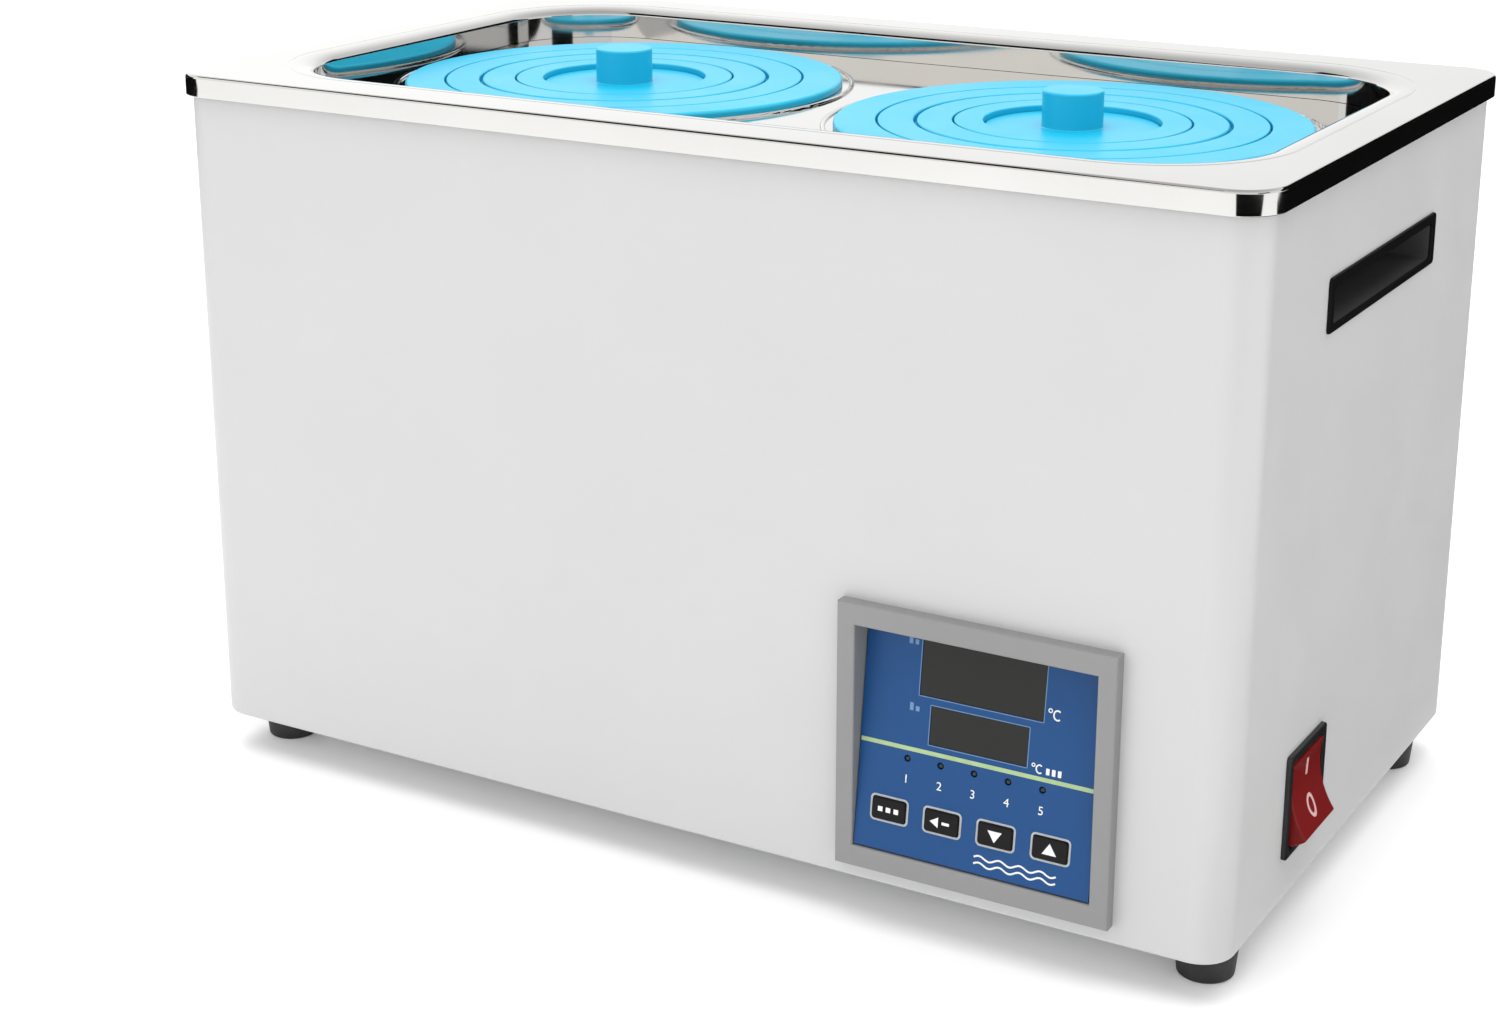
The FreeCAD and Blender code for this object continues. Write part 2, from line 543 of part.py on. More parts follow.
def draw_outline(sketch, corners):
    """Closed outline of straight lines through corners, each an x and a y expression."""
    first = sketch.GeometryCount
    spots = [FreeCAD.Vector(number(x), number(y), 0) for x, y in corners]
    for step, spot in enumerate(spots):
        sketch.addGeometry(Part.LineSegment(spot, spots[(step + 1) % len(spots)]), False)
    for step in range(len(spots)):
        following = first + (step + 1) % len(spots)
        sketch.addConstraint(Sketcher.Constraint("Coincident", first + step, 2, following, 1))
    for step, (x, y) in enumerate(corners):
        fix_point(sketch, first + step, 1, x, y)


def draw_rectangle(sketch, width, depth, x=0, y=0):
    left, right = f"{x} - ({width}) / 2", f"{x} + ({width}) / 2"
    low, high = f"{y} - ({depth}) / 2", f"{y} + ({depth}) / 2"
    draw_outline(sketch, [(left, low), (right, low), (right, high), (left, high)])


def pad(body, sketch, length):
    feature = body.newObject("PartDesign::Pad", "Pad")
    feature.Profile = sketch
    bind(feature, Length=length)
    return feature


def pocket(body, sketch, length, up=True):
    """Cut along the sketch's normal, or to both sides of it when up is None."""
    before = body.Tip
    doc.recompute()
    volume = before.Shape.Volume
    feature = body.newObject("PartDesign::Pocket", "Pocket")
    feature.Profile = sketch
    bind(feature, Length=length)
    if up is None:
        feature.SideType = "Symmetric"
    else:
        feature.Reversed = up
    doc.recompute()
    if not feature.Shape.Volume < volume:
        raise ValueError(f"a pocket of {body.Label} removes nothing")
    return feature


def revolve(body, sketch, kind="Revolution"):
    """Turn a sketch on the XZ plane round the body's Z axis."""
    feature = body.newObject(f"PartDesign::{kind}", kind)
    feature.Profile = sketch
    feature.ReferenceAxis = (sketch, ["V_Axis"])
    feature.Angle = 360
    return feature


def round_edges(body, radius, chosen):
    """Fillet on the edges of the body that the test chooses."""
    doc.recompute()
    base = body.Tip
    names = [f"Edge{n}" for n, edge in enumerate(base.Shape.Edges, start=1) if chosen(edge)]
    if not names:
        raise ValueError(f"no edge of {body.Label} to round")
    feature = body.newObject("PartDesign::Fillet", "Fillet")
    feature.Base = (base, names)
    bind(feature, Radius=radius)
    return feature


def hollow_out(body, top, wall):
    """Turn the body into a shell that is open at its top face."""
    doc.recompute()
    base = body.Tip
    level = number(top)
    faces = enumerate(base.Shape.Faces, start=1)
    names = [f"Face{n}" for n, face in faces if face.BoundBox.ZMin > level - 0.01]
    feature = body.newObject("PartDesign::Thickness", "Thickness")
    feature.Base = (base, names)
    feature.Reversed = True
    bind(feature, Value=wall)
    return feature


def edge_at(level, within=None, axis="Z"):
    """Test for edges that lie in a plane across an axis, optionally inside a half width in X."""

    def test(edge):
        bounds = edge.BoundBox
        low, high = getattr(bounds, f"{axis}Min"), getattr(bounds, f"{axis}Max")
        if high - low > 0.01 or abs(low - number(level)) > 0.01:
            return False
        if within is None:
            return True
        return max(abs(bounds.XMin), abs(bounds.XMax)) < number(within)

    return test


# Tubes and wires: straight runs joined by tangent arcs.


def tube(points, radius, bend):
    """Round solid along a route; bend is the radius of the arc at each inner point."""
    spots = [FreeCAD.Vector(*(number(value) for value in point)) for point in points]
    edges = []
    start = spots[0]
    for before, corner, after in zip(spots, spots[1:], spots[2:]):
        inward = (before - corner).normalize()
        outward = (after - corner).normalize()
        half = inward.getAngle(outward) / 2
        setback = bend / math.tan(half)
        bisector = (inward + outward).normalize()
        middle = corner + bisector * (bend / math.sin(half) - bend)
        first, last = corner + inward * setback, corner + outward * setback
        edges.append(Part.makeLine(start, first))
        edges.append(Part.Arc(first, middle, last).toShape())
        start = last
    edges.append(Part.makeLine(start, spots[-1]))
    route = Part.Wire(edges)
    direction = (spots[1] - spots[0]).normalize()
    section = Part.Wire([Part.makeCircle(radius, spots[0], direction)])
    solid = route.makePipeShell([section], True, False)
    wanted = math.pi * radius**2 * route.Length
    if abs(solid.Volume - wanted) > 0.01 * wanted:
        raise ValueError("a tube's volume isn't its section times its length")
    return solid


def shaped(label, shapes):
    """Sub-part whose shape is made by the tube function."""
    item = doc.addObject("Part::Feature", label)
    item.Shape = shapes[0] if len(shapes) == 1 else Part.makeCompound(shapes)
    return keep(item, label)


# Housing, base and feet


def make_housing():
    body = new_body("housing_shell")
    outline = new_sketch(body, "Outline", lift="foot_height")
    draw_rounded(outline, "housing_width", "housing_depth", "housing_corner")
    pad(body, outline, f"{SHELL_TOP} - foot_height")
    round_edges(body, "housing_edge", edge_at("foot_height"))
    inside = new_sketch(body, "Inside", lift="foot_height + housing_sheet")
    draw_rounded(
        inside,
        "housing_width - 2 * housing_sheet",
        "housing_depth - 2 * housing_sheet",
        "housing_corner - housing_sheet",
    )
    pocket(body, inside, f"{SHELL_TOP} - foot_height - 2 * housing_sheet")
    top = new_sketch(body, "TopOpening", lift=SHELL_TOP)
    draw_rounded(
        top, "housing_width - 2 * top_flange", "housing_depth - 2 * top_flange", "housing_corner / 2"
    )
    pocket(body, top, "2 * housing_sheet", None)
    bottom = new_sketch(body, "BottomOpening", lift="foot_height")
    draw_rounded(
        bottom, "housing_width - 2 * bottom_flange", "housing_depth - 2 * bottom_flange", "housing_corner / 2"
    )
    pocket(body, bottom, "2.5 * housing_sheet", None)

    front = new_sketch(body, "PanelOpening", "XZ_Plane", "housing_depth / 2")
    draw_rectangle(
        front,
        "frame_width - 2 * frame_sleeve + 2 * opening_gap",
        "frame_height - 2 * frame_sleeve + 2 * opening_gap",
        "panel_x",
        "panel_z",
    )
    pocket(body, front, "4 * housing_sheet", None)

    for side in (-1, 1):
        slot = new_sketch(body, "HandleOpening", "YZ_Plane", f"{side} * {SIDE}")
        draw_rectangle(
            slot, "handle_width - 2 * border_lap", "handle_height - 2 * border_lap", "handle_y", "handle_z"
        )
        pocket(body, slot, "4 * housing_sheet", None)

    rocker = new_sketch(body, "SwitchOpening", "YZ_Plane", SIDE)
    draw_rectangle(
        rocker, "switch_width - 2 * border_lap", "switch_height - 2 * border_lap", "rocker_y", "rocker_z"
    )
    pocket(body, rocker, "4 * housing_sheet", None)

    back = new_sketch(body, "InletOpening", "XZ_Plane", "-housing_depth / 2")
    draw_rectangle(
        back, "inlet_block + 2 * opening_gap", "inlet_height - 2 * border_lap", "inlet_x", "inlet_z"
    )
    for side in (-1, 1):
        draw_circle(back, "inlet_screw_radius + screw_gap", f"inlet_x + {side} * inlet_screw_x", "inlet_z")
    pocket(body, back, "4 * housing_sheet", None)

    vents = new_sketch(body, "BackVents", "XZ_Plane", "-housing_depth / 2")
    for row in range(BACK_VENTS):
        level = f"foot_height + vent_rise + {row} * vent_pitch"
        draw_rounded(vents, "vent_length", "vent_height", "0.45 * vent_height", "vent_x", level)
    pocket(body, vents, "4 * housing_sheet", None)

    holes = new_sketch(body, "BaseHoles", lift="foot_height")
    for x, y in FOOT_PLACES:
        draw_circle(holes, "foot_screw_radius + screw_gap", x, y)
    for x, y in BASE_SCREW_PLACES:
        draw_circle(holes, "base_screw_radius + screw_gap", x, y)
    pocket(body, holes, "3 * housing_sheet", None)




def make_base():
    body = new_body("base_plate")
    outline = new_sketch(body, "Outline", lift="foot_height + housing_sheet")
    draw_rounded(
        outline,
        "housing_width - 2 * housing_sheet - 2 * base_gap",
        "housing_depth - 2 * housing_sheet - 2 * base_gap",
        "housing_corner - housing_sheet - base_gap",
    )
    pad(body, outline, "housing_sheet")
    holes = new_sketch(body, "Holes", lift="foot_height + housing_sheet")
    for x, y in FOOT_PLACES:
        draw_circle(holes, "foot_screw_radius + screw_gap", x, y)
    for x, y in BASE_SCREW_PLACES:
        draw_circle(holes, "base_screw_radius + thread_gap", x, y)
    pocket(body, holes, "3 * housing_sheet", None)
    vents = new_sketch(body, "Vents", lift="foot_height + housing_sheet")
    for step in range(BASE_VENTS):
        middle = f"base_vent_x + {step} * base_vent_pitch"
        draw_rounded(vents, "base_vent_width", "base_vent_length", "0.48 * base_vent_width", middle, "0")
    pocket(body, vents, "3 * housing_sheet", None)


def cross_recess(x, y, under, length):
    """Crossed grooves in the head of a screw whose underside is at a height."""
    low = f"{under} - 1"
    height = "cross_depth + 1"
    return [
        centred_box(x, y, low, length, "cross_width", height),
        centred_box(x, y, low, "cross_width", length, height),
    ]


def make_feet():
    feet = []
    screws = []
    nuts = []
    head_under = "(foot_recess_depth - foot_head_height)"
    for x, y in FOOT_PLACES:
        rubber = doc.addObject("Part::Cone", "Rubber")
        bind(rubber, Radius1="foot_bottom_radius", Radius2="foot_radius", Height="foot_height")
        place(rubber, x, y, 0)
        recess = rod(x, y, "-1", "foot_recess_radius", "foot_recess_depth + 1")
        bore = rod(x, y, "0", "foot_screw_radius + screw_gap", "foot_height + 1")
        feet.append(cut(rubber, recess, bore))
        head = rod(x, y, head_under, "foot_head_radius", "foot_head_height")
        shank_length = "foot_height + foot_screw_reach - foot_recess_depth"
        shank = rod(x, y, "foot_recess_depth", "foot_screw_radius", shank_length)
        screws.append(cut(fuse(head, shank), *cross_recess(x, y, head_under, "1.3 * foot_head_radius")))
        hole = rod(x, y, BASE_TOP, "foot_screw_radius + thread_gap", "nut_height + 1")
        nuts.append(cut(hexagon(x, y, BASE_TOP, "nut_across", "nut_height"), hole))
    keep(group(feet), "rubber_feet")
    keep(group(screws), "foot_screws")
    keep(group(nuts), "foot_nuts")

    base_screws = []
    head_under = "(foot_height - base_head_height)"
    for x, y in BASE_SCREW_PLACES:
        head = rod(x, y, head_under, "base_head_radius", "base_head_height")
        shank = rod(x, y, "foot_height", "base_screw_radius", "base_screw_reach")
        base_screws.append(cut(fuse(head, shank), *cross_recess(x, y, head_under, "1.3 * base_head_radius")))
    keep(group(base_screws), "base_screws")


# Deck, gasket, tank and glass wool


def make_deck():
    body = new_body("deck_top")
    outline = new_sketch(body, "Outline", lift=f"{DECK_TOP} - skirt_height")
    deck_width = "(housing_width + 2 * deck_overhang)"
    deck_depth = "(housing_depth + 2 * deck_overhang)"
    draw_rounded(outline, deck_width, deck_depth, "deck_corner")
    pad(body, outline, "skirt_height")
    round_edges(body, "deck_edge", edge_at(DECK_TOP))
    under = new_sketch(body, "Underside", lift=f"{DECK_TOP} - skirt_height")
    draw_rounded(
        under, f"{deck_width} - 2 * deck_sheet", f"{deck_depth} - 2 * deck_sheet", "deck_corner - deck_sheet"
    )
    pocket(body, under, "skirt_height - deck_sheet")
    rim = new_sketch(body, "LipBody", lift=LEDGE_UNDER)
    draw_rounded(
        rim, "well_width + 2 * deck_sheet", "well_depth + 2 * deck_sheet", "well_corner + deck_sheet"
    )
    pad(body, rim, "plate_drop + plate_sheet + deck_sheet")
    shoulder = new_sketch(body, "LipShoulder", lift=f"{DECK_TOP} - roll_drop - deck_sheet")
    draw_rounded(
        shoulder, "well_width + 2 * roll_width", "well_depth + 2 * roll_width", "well_corner + roll_width"
    )
    pad(body, shoulder, "roll_drop + deck_sheet")
    well = new_sketch(body, "Well", lift=LEDGE_TOP)
    draw_rounded(well, "well_width", "well_depth", "well_corner")
    pocket(body, well, "plate_drop + plate_sheet + 1")
    opening = new_sketch(body, "TankOpening", lift=LEDGE_UNDER)
    draw_rounded(opening, TANK_WIDTH, TANK_DEPTH, TANK_ROUND)
    pocket(body, opening, "3 * deck_sheet", None)

    doc.recompute()
    base = body.Tip
    inner = edge_at(DECK_TOP, "well_width / 2 + roll_slack")
    names = [f"Edge{n}" for n, edge in enumerate(base.Shape.Edges, start=1) if inner(edge)]
    lip = body.newObject("PartDesign::Chamfer", "Lip")
    lip.Base = (base, names)
    lip.ChamferType = "Two distances"
    bind(lip, Size="roll_width - roll_slack", Size2="roll_drop")
    round_edges(body, "roll_bend", edge_at(f"{DECK_TOP} - roll_drop", "well_width / 2 + roll_slack"))

    strip = new_body("deck_gasket")
    loop = new_sketch(strip, "Loop", lift=SHELL_TOP)
    for inset in ("gasket_inset", "(gasket_inset + gasket_width)"):
        draw_rounded(
            loop, f"housing_width - 2 * {inset}", f"housing_depth - 2 * {inset}", f"housing_corner - {inset}"
        )
    pad(strip, loop, "gasket_height")


def heater_tails():
    """Places where the heater's two tails pass through the tank's floor."""
    return [("heater_reach", f"{side} * heater_y") for side in (-1, 1)]


def make_tank():
    body = new_body("inner_tank")
    outline = new_sketch(body, "Outline", lift=TANK_UNDER)
    draw_rounded(outline, TANK_WIDTH, TANK_DEPTH, TANK_ROUND)
    pad(body, outline, f"{LEDGE_UNDER} - {TANK_UNDER}")
    round_edges(body, "tank_corner", edge_at(TANK_UNDER))
    hollow_out(body, LEDGE_UNDER, "tank_sheet")
    flange = new_sketch(body, "Flange", lift=f"{LEDGE_UNDER} - tank_sheet")
    for reach in ("tank_flange", "(-tank_sheet / 2)"):
        draw_rounded(
            flange, f"{TANK_WIDTH} + 2 * {reach}", f"{TANK_DEPTH} + 2 * {reach}", f"{TANK_ROUND} + {reach}"
        )
    pad(body, flange, "tank_sheet")
    holes = new_sketch(body, "HeaterHoles", lift=TANK_UNDER)
    for x, y in heater_tails():
        draw_circle(holes, "gland_radius + gland_gap", x, y)
    pocket(body, holes, "4 * tank_sheet", None)
    probe = new_sketch(body, "ProbeHole", "YZ_Plane", f"{TANK_WIDTH} / 2")
    draw_circle(probe, "fitting_radius + gland_gap", "0", PROBE_Z)
    pocket(body, probe, "4 * tank_sheet", None)


def make_insulation():
    body = new_body("tank_insulation")
    slack_width = f"({TANK_WIDTH} + 2 * insulation_gap)"
    slack_depth = f"({TANK_DEPTH} + 2 * insulation_gap)"
    slack_round = f"({TANK_ROUND} + insulation_gap)"
    loop = new_sketch(body, "Loop", lift="tank_floor_height + wool_start")
    draw_rounded(
        loop,
        f"{slack_width} + 2 * insulation",
        f"{slack_depth} + 2 * insulation",
        f"{slack_round} + insulation",
    )
    draw_rounded(loop, slack_width, slack_depth, slack_round)
    pad(body, loop, "wool_height")
    for side in (-1, 1):
        recess = new_sketch(body, "CupRecess", "YZ_Plane", f"{side} * ({SIDE} - handle_depth)")
        draw_rectangle(
            recess, "handle_width + cup_room_y", "handle_height + cup_room_z", "handle_y", "handle_z"
        )
        pocket(body, recess, "2 * cup_room_depth", None)
    probe = new_sketch(body, "ProbeHole", "YZ_Plane", f"{TANK_WIDTH} / 2")
    draw_rectangle(probe, "probe_room_y", "probe_room_z", "0", f"{PROBE_Z} - 1")
    pocket(body, probe, "3 * insulation", None)

    floor_pad = new_body("floor_insulation")
    outline = new_sketch(floor_pad, "Outline", lift=f"{TANK_UNDER} - insulation")
    draw_rounded(
        outline, f"{TANK_WIDTH} - 2 * wool_inset", f"{TANK_DEPTH} - 2 * wool_inset", "wool_corner"
    )
    pad(floor_pad, outline, "insulation - insulation_gap")
    holes = new_sketch(floor_pad, "Holes", lift=f"{TANK_UNDER} - insulation")
    for x, y in heater_tails():
        draw_circle(holes, "gland_room", x, y)
    draw_circle(holes, "cutout_room", "0", "0")
    pocket(floor_pad, holes, "3 * insulation", None)


def make_heater():
    end = "(-heater_end)"
    far = "(-heater_end - heater_loop)"
    corner = "(heater_y - heater_loop)"
    route = [
        ("heater_reach", "-heater_y", "heater_tail"),
        ("heater_reach", "-heater_y", "heater_height"),
        (end, "-heater_y", "heater_height"),
        (far, f"-{corner}", "heater_height"),
        (far, corner, "heater_height"),
        (end, "heater_y", "heater_height"),
        ("heater_reach", "heater_y", "heater_height"),
        ("heater_reach", "heater_y", "heater_tail"),
    ]
    shaped("heater_element", [tube(route, number("heater_radius"), number("heater_bend"))])

    glands = []
    seals = []
    flange_under = "(tank_floor_height + gland_sheet)"
    sleeve_under = f"({TANK_UNDER} - gland_drop)"
    sleeve_length = f"{flange_under} + gland_sheet - {sleeve_under}"
    for x, y in heater_tails():
        sleeve = rod(x, y, sleeve_under, "gland_radius", sleeve_length)
        flange = rod(x, y, flange_under, "gland_flange", "gland_sheet")
        bore = rod(x, y, f"{sleeve_under} - 1", "heater_radius + thread_gap", f"{sleeve_length} + 2")
        glands.append(cut(fuse(sleeve, flange), bore))
        nut_under = f"({TANK_UNDER} - gland_nut_height)"
        nut = hexagon(x, y, nut_under, "gland_nut", "gland_nut_height")
        thread = rod(x, y, f"{nut_under} - 1", "gland_radius + thread_gap", "gland_nut_height + 2")
        glands.append(cut(nut, thread))
        washer = rod(x, y, "tank_floor_height", "0.95 * gland_flange", "gland_sheet")
        hole = rod(x, y, "tank_floor_height - 1", "gland_radius + thread_gap", "gland_sheet + 2")
        seals.append(cut(washer, hole))
    keep(group(glands), "heater_glands")
    keep(group(seals), "heater_seals")


def make_probe():
    wall = f"({TANK_WIDTH} / 2)"
    sheath = rod("probe_tip", 0, PROBE_Z, "probe_radius", f"{wall} + probe_tail - probe_tip", "X")
    keep(sheath, "temperature_probe")
    start = f"({wall} - tank_sheet - fitting_nut)"
    thread = rod(f"{start} - 1", 0, PROBE_Z, "fitting_radius", "2 * fitting_nut + 4 * tank_sheet", "X")
    inner_nut = hexagon(start, 0, PROBE_Z, "fitting_across", "fitting_nut", "X")
    bore = rod(f"{start} - 4", 0, PROBE_Z, "probe_radius + thread_gap", "5 * fitting_nut", "X")
    outer_nut = hexagon(wall, 0, PROBE_Z, "fitting_across", "fitting_nut", "X")
    hole = rod(f"{wall} - 1", 0, PROBE_Z, "fitting_radius + thread_gap", "2 * fitting_nut", "X")
    keep(group([cut(fuse(thread, inner_nut), bore), cut(outer_nut, hole)]), "probe_fitting")


def make_shelf():
    body = new_body("tank_shelf")
    under = "(tank_floor_height + shelf_height - shelf_sheet)"
    sheet_outline = new_sketch(body, "Sheet", lift=under)
    draw_rounded(sheet_outline, "shelf_width", "shelf_depth", "shelf_corner")
    pad(body, sheet_outline, "shelf_sheet")
    legs = new_sketch(body, "Legs", lift="tank_floor_height")
    leg_y = "(shelf_depth - shelf_leg_sheet) / 2"
    for sx in (-1, 1):
        for sy in (-1, 1):
            middle = f"{sx} * shelf_leg_x", f"{sy} * {leg_y}"
            draw_rectangle(legs, "shelf_leg_width", "shelf_leg_sheet", *middle)
    pad(body, legs, "shelf_height - shelf_sheet / 2")
    spread_x = f"({SHELF_COLUMNS - 1} * shelf_pitch_x)"
    spread_y = f"({SHELF_ROWS - 1} * shelf_pitch_y)"
    hole = new_sketch(body, "FirstHole", lift=under)
    draw_circle(hole, "shelf_hole", f"-{spread_x} / 2", f"-{spread_y} / 2")
    first = pocket(body, hole, "6 * shelf_sheet", None)
    grid = body.newObject("PartDesign::LinearPattern", "HoleGrid")
    grid.Originals = [first]
    grid.Direction = (hole, ["H_Axis"])
    grid.Direction2 = (hole, ["V_Axis"])
    bind(grid, Length=spread_x, Length2=spread_y)
    grid.Occurrences = SHELF_COLUMNS
    grid.Occurrences2 = SHELF_ROWS
    body.Tip = grid


def make_cutout():
    cap_under = f"({TANK_UNDER} - cutout_drop)"
    tab_under = f"({TANK_UNDER} - cutout_tab_drop)"
    disc = rod(0, 0, f"{TANK_UNDER} - cutout_disc", "cutout_radius", "cutout_disc")
    cap = rod(0, 0, cap_under, "cutout_cap", "cutout_drop")
    tabs = []
    for side in (-1, 1):
        height = f"{cap_under} - {tab_under} + 1"
        tabs.append(centred_box(f"{side} * cutout_tab_x", 0, tab_under, "tab_sheet", "tab_width", height))
    keep(fuse(disc, cap, *tabs), "overheat_cutout")


# Cover plate and lids


def make_cover():
    body = new_body("cover_plate")
    outline = new_sketch(body, "Outline", lift=LEDGE_TOP)
    draw_rounded(
        outline, "well_width - 2 * plate_gap", "well_depth - 2 * plate_gap", "well_corner - plate_gap"
    )
    for side in (-1, 1):
        draw_circle(outline, "hole_radius", f"{side} * hole_x", "0")
    pad(body, outline, "plate_sheet")
    bead = "(bead_radius - bead_size)", "(bead_radius + bead_size)"
    for side in (-1, 1):
        ring = new_sketch(body, "Bead", lift=f"{PLATE_TOP} - plate_sheet / 2")
        draw_circle(ring, bead[1], f"{side} * hole_x", "0")
        draw_circle(ring, bead[0], f"{side} * hole_x", "0")
        pad(body, ring, "bead_size + plate_sheet / 2")
    round_edges(body, "0.9 * bead_size", edge_at(f"{PLATE_TOP} + bead_size"))


def ring_section(outer, inner, is_first):
    """Outline of one ring, in radius and height above the bench."""
    skirt = "hole_radius - hole_gap" if is_first else f"{outer} - ring_step - 2 * ring_gap"
    edge = "lid_edge" if is_first else "ring_edge"
    return [
        (f"{inner} - ring_step", LID_UNDER),
        (skirt, LID_UNDER),
        (skirt, PLATE_TOP),
        (outer, PLATE_TOP),
        (outer, f"{LID_TOP} - {edge}"),
        (f"{outer} - {edge}", LID_TOP),
        (f"{inner} + ring_gap + ring_edge", LID_TOP),
        (f"{inner} + ring_gap", f"{LID_TOP} - ring_edge"),
        (f"{inner} + ring_gap", PLATE_TOP),
        (f"{inner} - ring_step", PLATE_TOP),
    ]


def make_lid(side, name):
    for index, (outer, inner) in enumerate(zip(RING_RADII, RING_RADII[1:])):
        body = new_body(f"{name}_ring_{index + 1}")
        section = new_sketch(body, "Section", "XZ_Plane")
        corners = ring_section(outer, inner, index == 0)
        if inner == "cap_radius":
            corners[-2] = (corners[-2][0], CAP_SEAT)
            corners[-1] = (corners[-1][0], CAP_SEAT)
        draw_outline(section, corners)
        revolve(body, section)
        place(body, f"{side} * hole_x")

    cap = new_body(f"{name}_cap")
    section = new_sketch(cap, "Section", "XZ_Plane")
    knob_top = f"({LID_TOP} + knob_rise)"
    corners = [
        ("0", LID_UNDER),
        ("cap_radius - ring_step - 2 * ring_gap", LID_UNDER),
        ("cap_radius - ring_step - 2 * ring_gap", CAP_SEAT),
        ("cap_radius", CAP_SEAT),
        ("cap_radius", f"{CAP_TOP} - cap_edge"),
        ("cap_radius - cap_edge", CAP_TOP),
        ("knob_radius", CAP_TOP),
        ("knob_radius", f"{knob_top} - knob_edge"),
        ("knob_radius - knob_edge", knob_top),
        ("0", knob_top),
    ]
    draw_outline(section, corners)
    revolve(cap, section)
    place(cap, f"{side} * hole_x")


# Side handles


def make_handles():
    """Two black cups, each drawn with its border in the YZ plane and its hollow towards minus X."""
    for side, name in ((-1, "handle_cup_left"), (1, "handle_cup_right")):
        body = new_body(name)
        cup = new_sketch(body, "Cup", "YZ_Plane", "-handle_depth - cup_wall")
        inset = "2 * border_lap - 2 * opening_gap"
        draw_rounded(cup, f"handle_width - {inset}", f"handle_height - {inset}", "cup_corner")
        pad(body, cup, "handle_depth + cup_wall")
        border = new_sketch(body, "Border", "YZ_Plane")
        draw_rounded(border, "handle_width", "handle_height", "cup_corner")
        pad(body, border, "handle_proud")
        hollow = new_sketch(body, "Hollow", "YZ_Plane", "-handle_depth")
        hollow_height = "(handle_height - handle_border_top - handle_border_low)"
        hollow_z = "((handle_border_low - handle_border_top) / 2)"
        draw_rounded(
            hollow, "handle_width - 2 * handle_border", hollow_height, "cup_corner", "0", hollow_z
        )
        pocket(body, hollow, "handle_depth + 2 * handle_proud")
        round_edges(body, "handle_edge", edge_at("handle_proud", axis="X"))
        place(body, f"{side} * {SIDE}", "handle_y", "handle_z", (0, 0, 1), 90 - 90 * side)


# Control panel. Its tilted pieces are drawn flat, with X across the face, Y up the face and Z
# out of it, and then stood up about X.


def stand_up(item):
    return place(item, "panel_x", FACE_Y, "panel_z", (1, 0, 0), "90 - face_tilt")


def key_x(index):
    return f"(({index} - {KEY_COUNT - 1} / 2) * key_pitch + key_offset)"


def led_x(index):
    return f"(({index} - {LED_COUNT - 1} / 2) * led_pitch + led_offset)"


def make_panel_frame():
    body = new_body("panel_frame")
    ring = new_sketch(body, "Bezel", "XZ_Plane", "housing_depth / 2")
    draw_rectangle(ring, "frame_width", "frame_height", "panel_x", "panel_z")
    draw_rectangle(ring, "window_width", "window_height", "panel_x", "panel_z")
    pad(body, ring, "frame_proud")
    round_edges(body, "frame_edge", edge_at(f"{FRONT} - frame_proud", axis="Y"))
    sleeve = new_sketch(body, "Sleeve", "XZ_Plane", "housing_depth / 2 - frame_depth")
    sleeve_width = "(frame_width - 2 * frame_sleeve)"
    sleeve_height = "(frame_height - 2 * frame_sleeve)"
    draw_rectangle(sleeve, sleeve_width, sleeve_height, "panel_x", "panel_z")
    draw_rectangle(sleeve, "window_width", "window_height", "panel_x", "panel_z")
    pad(body, sleeve, "frame_depth + housing_sheet / 2")


def make_face():
    body = new_body("panel_face")
    outline = new_sketch(body, "Outline", lift="-face_sheet")
    draw_rectangle(outline, "window_width - 2 * face_gap", FACE_HEIGHT)
    for name, width, height, level in DISPLAYS:
        draw_rectangle(outline, width, height, "0", level)
    for index in range(LED_COUNT):
        draw_circle(outline, "led_radius + lens_gap", led_x(index), "led_v")
    for index in range(KEY_COUNT):
        draw_rounded(
            outline,
            "key_width + 2 * key_gap",
            "key_height + 2 * key_gap",
            "key_corner + key_gap",
            key_x(index),
            "key_v",
        )
    pad(body, outline, "face_sheet")
    stand_up(body)

    for name, width, height, level in DISPLAYS:
        lens = new_body(f"{name}_display_window")
        pane = new_sketch(lens, "Pane", lift="-face_sheet")
        draw_rectangle(pane, f"{width} - 2 * lens_gap", f"{height} - 2 * lens_gap", "0", level)
        pad(lens, pane, "face_sheet - lens_sink")
        stand_up(lens)

    lights = []
    for index in range(LED_COUNT):
        stem = rod(led_x(index), "led_v", BOARD_TOP, "led_radius", "board_back - led_radius")
        dome = doc.addObject("Part::Sphere", "Dome")
        bind(dome, Radius="led_radius")
        place(dome, led_x(index), "led_v", "-led_radius")
        lights.append(fuse(stem, dome))
    stand_up(keep(group(lights), "indicator_lights"))


def make_keys():
    lip_back = "(face_sheet + key_lip_sheet)"
    for index in range(KEY_COUNT):
        body = new_body(f"key_{index + 1}")
        cap = new_sketch(body, "Cap", lift="-face_sheet - key_lip_sheet / 2")
        draw_rounded(cap, "key_width", "key_height", "key_corner", key_x(index), "key_v")
        pad(body, cap, "face_sheet + key_lip_sheet / 2 + key_proud")
        round_edges(body, "key_edge", edge_at("key_proud"))
        lip = new_sketch(body, "Lip", lift=f"-{lip_back}")
        draw_rounded(
            lip,
            "key_width + 2 * key_lip",
            "key_height + 2 * key_lip",
            "key_corner + key_lip",
            key_x(index),
            "key_v",
        )
        pad(body, lip, "key_lip_sheet")
        stem = new_sketch(body, "Stem", lift=f"-{lip_back} - key_stem")
        draw_circle(stem, "key_stem_radius", key_x(index), "key_v")
        pad(body, stem, "key_stem + key_lip_sheet / 2")
        stand_up(body)


